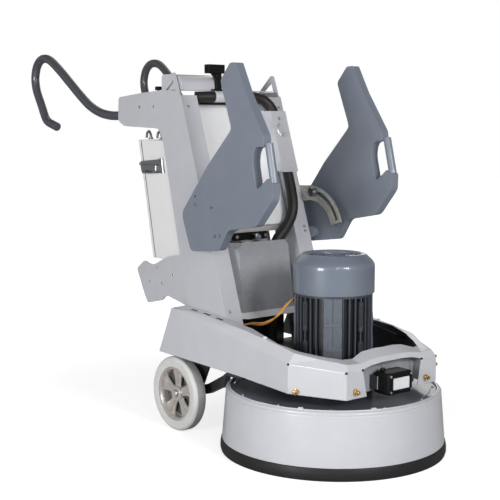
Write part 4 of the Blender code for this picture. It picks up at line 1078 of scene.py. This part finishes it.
def controls():
    """The operator's panel: mushroom stop, two push buttons, the speed dial and a display window."""
    refined("control_panel", FRAME_GREY, 0.0015, 3, slot="black_plastic")
    for name, material in (("emergency_button", RED), ("start_button", GREEN), ("stop_button", RED),
                           ("speed_knob", BLACK_PLASTIC)):
        refined(name, material, 0.0016, 3)
    collars = []
    for x, radius in ((-0.120, 0.0190), (-0.065, 0.0100), (-0.030, 0.0100)):
        inner, outer = radius + 0.0008, radius + 0.0038
        profile = [(outer, 0.0028), (outer, 0.0002), (inner, 0.0002), (inner, 0.0028)]
        collars.append(laid_on_panel(turned(rounded(profile, 0.0007, 2), 48), x))
    gather(collars, "button_collars", STEEL)
    dial_x = 0.030
    ticks = [turned_to(box((0.0185, -0.0005, 0.0001), (0.0225, 0.0005, 0.0006)), 230 - 28 * index)
             for index in range(11)]
    finish(laid_on_panel(merged(*ticks), dial_x), "dial_ticks", CABINET_WHITE)
    pointer = laid_on_panel(box((-0.0007, 0.003, 0.0146), (0.0007, 0.0125, 0.0152)), dial_x)
    finish(pointer, "dial_pointer", CABINET_WHITE, body="knob")
    window = bevelled(box((-0.034, -0.017, 0.0002), (0.034, 0.017, 0.0030)), 0.0012, 2)
    finish(laid_on_panel(window, 0.105), "display_window", BLACK_PLASTIC)


# ---------------------------------------------------------------- wheels, weights and handle

def laid_on_wheel(obj, side):
    """A piece drawn with its outer face up, turned to the wheel's place."""
    return placed(obj, (side * WHEEL_X, WHEEL_Y, WHEEL_RADIUS), Matrix.Rotation(side * pi / 2, 4, "Y"))


def rim(half):
    """A dished five-spoke rim, its outer face up."""
    barrel = rounded([(RIM_RADIUS, half - 0.004), (RIM_RADIUS, -half + 0.004), (0.080, -half + 0.004),
                      (RIM_BORE, -0.004), (RIM_BORE, 0.006), (0.0815, half - 0.004)],
                     [0.001, 0.001, 0.001, 0.004, 0.004, 0.001], 3)
    hub = rounded([(0.0245, 0.015), (0.027, 0.006), (0.027, -0.020), (0.0125, -0.020), (0.0125, 0.015)],
                  [0.003, 0.003, 0.002, 0.0006, 0.0006], 3)
    cap = [(0.0, 0.0205), (0.0085, 0.0205), (0.0105, 0.0185), (0.0108, 0.012), (0.0, 0.012)]
    parts = [turned(barrel, 96), turned(hub, 64), turned(cap, 40, closed=False)]
    arm = rounded([(0.020, -0.0135), (0.046, -0.0150), (0.0790, -0.0300), (0.0790, 0.0300), (0.046, 0.0150),
                   (0.020, 0.0135)], [0, 0.012, 0, 0, 0.012, 0], 6)
    ridge = rounded([(0.022, -0.0050), (0.077, -0.0085), (0.077, 0.0085), (0.022, 0.0050)], 0.001, 2)
    for index in range(5):
        parts.append(turned_to(bevelled(level_plate([arm], -0.002, 0.006), 0.0022, 3), 72 * index))
        parts.append(turned_to(bevelled(level_plate([ridge], 0.004, 0.0105), 0.0030, 3), 72 * index))
    return merged(*parts)


def wheels():
    """Solid grey tyres on dished aluminium rims, each closed by a web behind its spokes whose dark iron
    colour is painted shade in the rim's windows.
    """
    half = WHEEL_WIDTH / 2
    refined("wheel_axle", STEEL, 0.0012)
    profile = rounded([(RIM_RADIUS + GAP, half - 0.002), (0.1145, half), (WHEEL_RADIUS, half - 0.009),
                       (WHEEL_RADIUS, -half + 0.009), (0.1145, -half), (RIM_RADIUS + GAP, -half + 0.002)],
                      [0.002, 0.006, 0.007, 0.007, 0.006, 0.002])
    for name, side in SIDES:
        body = f"wheel_{name}"
        tyre = laid_on_wheel(turned(profile, 128), side)
        tyre = finish(tyre, f"tyre_shell_{name}", TYRE_GREY, f"tyre_{name}", body)
        repaint(tyre, TREAD_GREY, lambda centre, normal: abs(normal.x) < 0.3)
        finish(laid_on_wheel(rim(half), side), f"rim_shell_{name}", ALUMINIUM, f"rim_{name}", body)
        # painted shade: the web takes the dark iron colour so the windows between the spokes read as shade
        web = level_plate([circle(RIM_BORE, 64), circle(0.0265, 32)], -0.0125, -0.0105)
        finish(laid_on_wheel(web, side), f"rim_shaded_web_{name}", TOOL_IRON, (), body, "aluminium")


def leaning(obj, side):
    """A piece of a weight in its rest pose: the right weight rests a little further back."""
    pivot = Matrix.Translation((0, *WEIGHT_PIVOT))
    lean = radians(RIGHT_WEIGHT_LEAN) if side > 0 else 0.0
    obj.data.transform(pivot @ Matrix.Rotation(-lean, 4, "X") @ pivot.inverted())
    return obj


def weights():
    """Thick flame-cut plates with a grip bar, their bolts, bumpers and guide sectors."""
    bolt_places = ((0.349, 0.777), (0.349, 0.751), (0.265, 0.746), (0.249, 0.658), (0.224, 0.662))
    for name, side in SIDES:
        body = f"weight_{name}"
        refined(body, WEIGHT_GREY, 0.0018, 3)
        outward = Vector((side, 0, 0))
        outer, inner = side * WEIGHT_OUTER, side * (WEIGHT_OUTER - WEIGHT_THICKNESS)
        bolts = []
        for y, z in bolt_places:
            bolts.append(stub(Vector((outer, y, z)), outward, -0.002, 0.0016, 0.0048, 20))
            bolts.append(stub(Vector((inner, y, z)), -outward, -0.002, 0.0012, 0.0048, 20))
        bolts = [bevelled(bolt, 0.0006, 1) for bolt in bolts]
        bolts.append(hex_bolt((outer - side * 0.001, *WEIGHT_PIVOT), outward, 0.010, 0.0009))
        finish(leaning(merged(*bolts), side), f"weight_bolts_{name}", STEEL, body=body)
        left, right = sorted((outer, inner))
        bumper = bevelled(box((left + 0.006, 0.406, 0.708), (right - 0.006, 0.4205, 0.724)), 0.003, 3)
        finish(leaning(bumper, side), f"weight_bumper_{name}", BLACK_RUBBER, body=body)
        refined(f"sector_{name}", ZINC, 0.0008, 2)
        refined(f"weight_pin_{name}", STEEL, 0.0014, 2)


HORN = [(0.194, 0.825, 1.035), (0.1945, 0.860, 1.0325), (0.196, 0.905, 1.031), (0.200, 0.948, 1.033),
        (0.206, 1.000, 1.043), (0.215, 1.055, 1.068), (0.225, 1.110, 1.110), (0.236, 1.160, 1.155),
        (0.244, 1.208, 1.195), (0.249, 1.263, 1.232), (0.250, 1.303, 1.245), (0.250, 1.343, 1.242),
        (0.250, 1.375, 1.218), (0.250, 1.3895, 1.175), (0.250, 1.380, 1.128), (0.250, 1.345, 1.071),
        (0.250, 1.318, 1.027), (0.250, 1.297, 1.010), (0.250, 1.268, 1.001), (0.250, 1.231, 0.991)]


def handle():
    """The bent tube handle with rounded ends, on its cross bar, and the two knobs that lock it."""
    _, y, z = HORN[0]
    tubes = [tube([(-0.198, y, z), (0.198, y, z)], HANDLE_RADIUS, 7)]
    for _, side in SIDES:
        points = smooth_route([(side * px, py, pz) for px, py, pz in HORN], 5)
        tubes.append(bevelled(tube(points, HANDLE_RADIUS, 7), 0.004, 3, 60))
    gather(tubes, "handle_shell", HANDLE_GREY, "handle_bar", body="handle", crease=50)
    for name, _ in SIDES:
        refined(f"handle_lock_{name}", BLACK_PLASTIC, 0.0014, 2)


# ---------------------------------------------------------------- studio

def area_light(name, place, aim_z, size, power):
    """A white panel light, aimed at a height over the origin."""
    data = bpy.data.lights.new(name, "AREA")
    data.shape = "RECTANGLE"
    data.size, data.size_y = size
    data.energy = power
    light = new_object(data, name)
    light.location = place
    light.rotation_euler = (Vector((0, 0, aim_z)) - Vector(place)).to_track_quat("-Z", "Y").to_euler()


def paper(name):
    """White paper that glows a little to the camera, and more with distance, so it has no horizon."""
    material = principled(name, 0.9, Specular_IOR_Level=0.1, Emission_Color=(1, 1, 1, 1))
    mottled(material, (0.55, 0.55, 0.55), 0.004, 0.6)
    place = node(material, "ShaderNodeTexCoord")
    reach = node(material, "ShaderNodeVectorMath", operation="LENGTH")
    fade = node(material, "ShaderNodeMapRange", interpolation_type="SMOOTHSTEP", From_Min=0.6, From_Max=2.0,
                To_Min=0.74, To_Max=1.0)
    rays = node(material, "ShaderNodeLightPath")
    seen = node(material, "ShaderNodeMath", operation="MULTIPLY")
    wire(material, (place, "Object", reach, "Vector"), (reach, "Value", fade, "Value"),
         (fade, "Result", seen, 0), (rays, "Is Camera Ray", seen, 1),
         (seen, "Value", shader_of(material), "Emission Strength"))
    return material


def studio():
    """A white room that is darker overhead, a pale floor, a low key light, and lights round it."""
    world = bpy.data.worlds.new("studio")
    world.use_nodes = True
    ambient = world.node_tree.nodes["Background"]
    ambient.inputs["Color"].default_value = (1, 1, 1, 1)
    place = node(world, "ShaderNodeTexCoord")
    split = node(world, "ShaderNodeSeparateXYZ")
    dome = node(world, "ShaderNodeMapRange", From_Max=0.8, To_Min=0.36, To_Max=0.10)
    backdrop = node(world, "ShaderNodeBackground", Color=(1, 1, 1, 1), Strength=1.0)
    rays = node(world, "ShaderNodeLightPath")
    mix = node(world, "ShaderNodeMixShader")
    wire(world, (place, "Generated", split, "Vector"), (split, "Z", dome, "Value"),
         (dome, "Result", ambient, "Strength"), (rays, "Is Camera Ray", mix, "Fac"),
         (ambient, "Background", mix, 1), (backdrop, "Background", mix, 2),
         (mix, "Shader", world.node_tree.nodes["World Output"], "Surface"))
    bpy.context.scene.world = world
    floor = box((-14, -14, -0.02), (14, 14, 0))
    floor.name = "floor"
    floor.data.materials.append(paper("studio_floor"))
    area_light("key", (-3.6, -1.1, 1.0), 0.5, (1.0, 0.9), 72)
    area_light("strip", (-2.0, -3.6, 1.9), 0.5, (0.35, 1.5), 14)
    area_light("front", (-0.5, -4.0, 1.8), 0.4, (0.9, 0.9), 68)
    area_light("top", (1.6, 1.8, 3.8), 0.4, (2.4, 2.2), 11)
    area_light("rim", (2.8, 2.2, 2.0), 0.6, (1.6, 2.0), 14)


def camera():
    """The camera stands low to the front left and looks slightly down at the machine."""
    down, around = 6.54, 39.62          # degrees
    data = bpy.data.cameras.new("camera")
    data.lens = 79.66
    data.sensor_width = 36
    data.dof.use_dof = False
    data.clip_end = 60
    eye = new_object(data, "camera")
    eye.location = (-2.347, HEAD_Y - 2.431, 1.005)
    eye.rotation_euler = (radians(90 - down), 0, -radians(around))
    bpy.context.scene.camera = eye
    bpy.context.scene.view_settings.view_transform = "Standard"


PARTS = (shroud, skirt, deck, housing, drum_set, motor, cowl, terminal_box, motor_cable, hood, chassis, lamp,
         nozzles, columns, console, tank, hose, sheet_metal, cabinet, controls, wheels, weights, handle)

camera()
studio()
for draw in PARTS:
    draw()
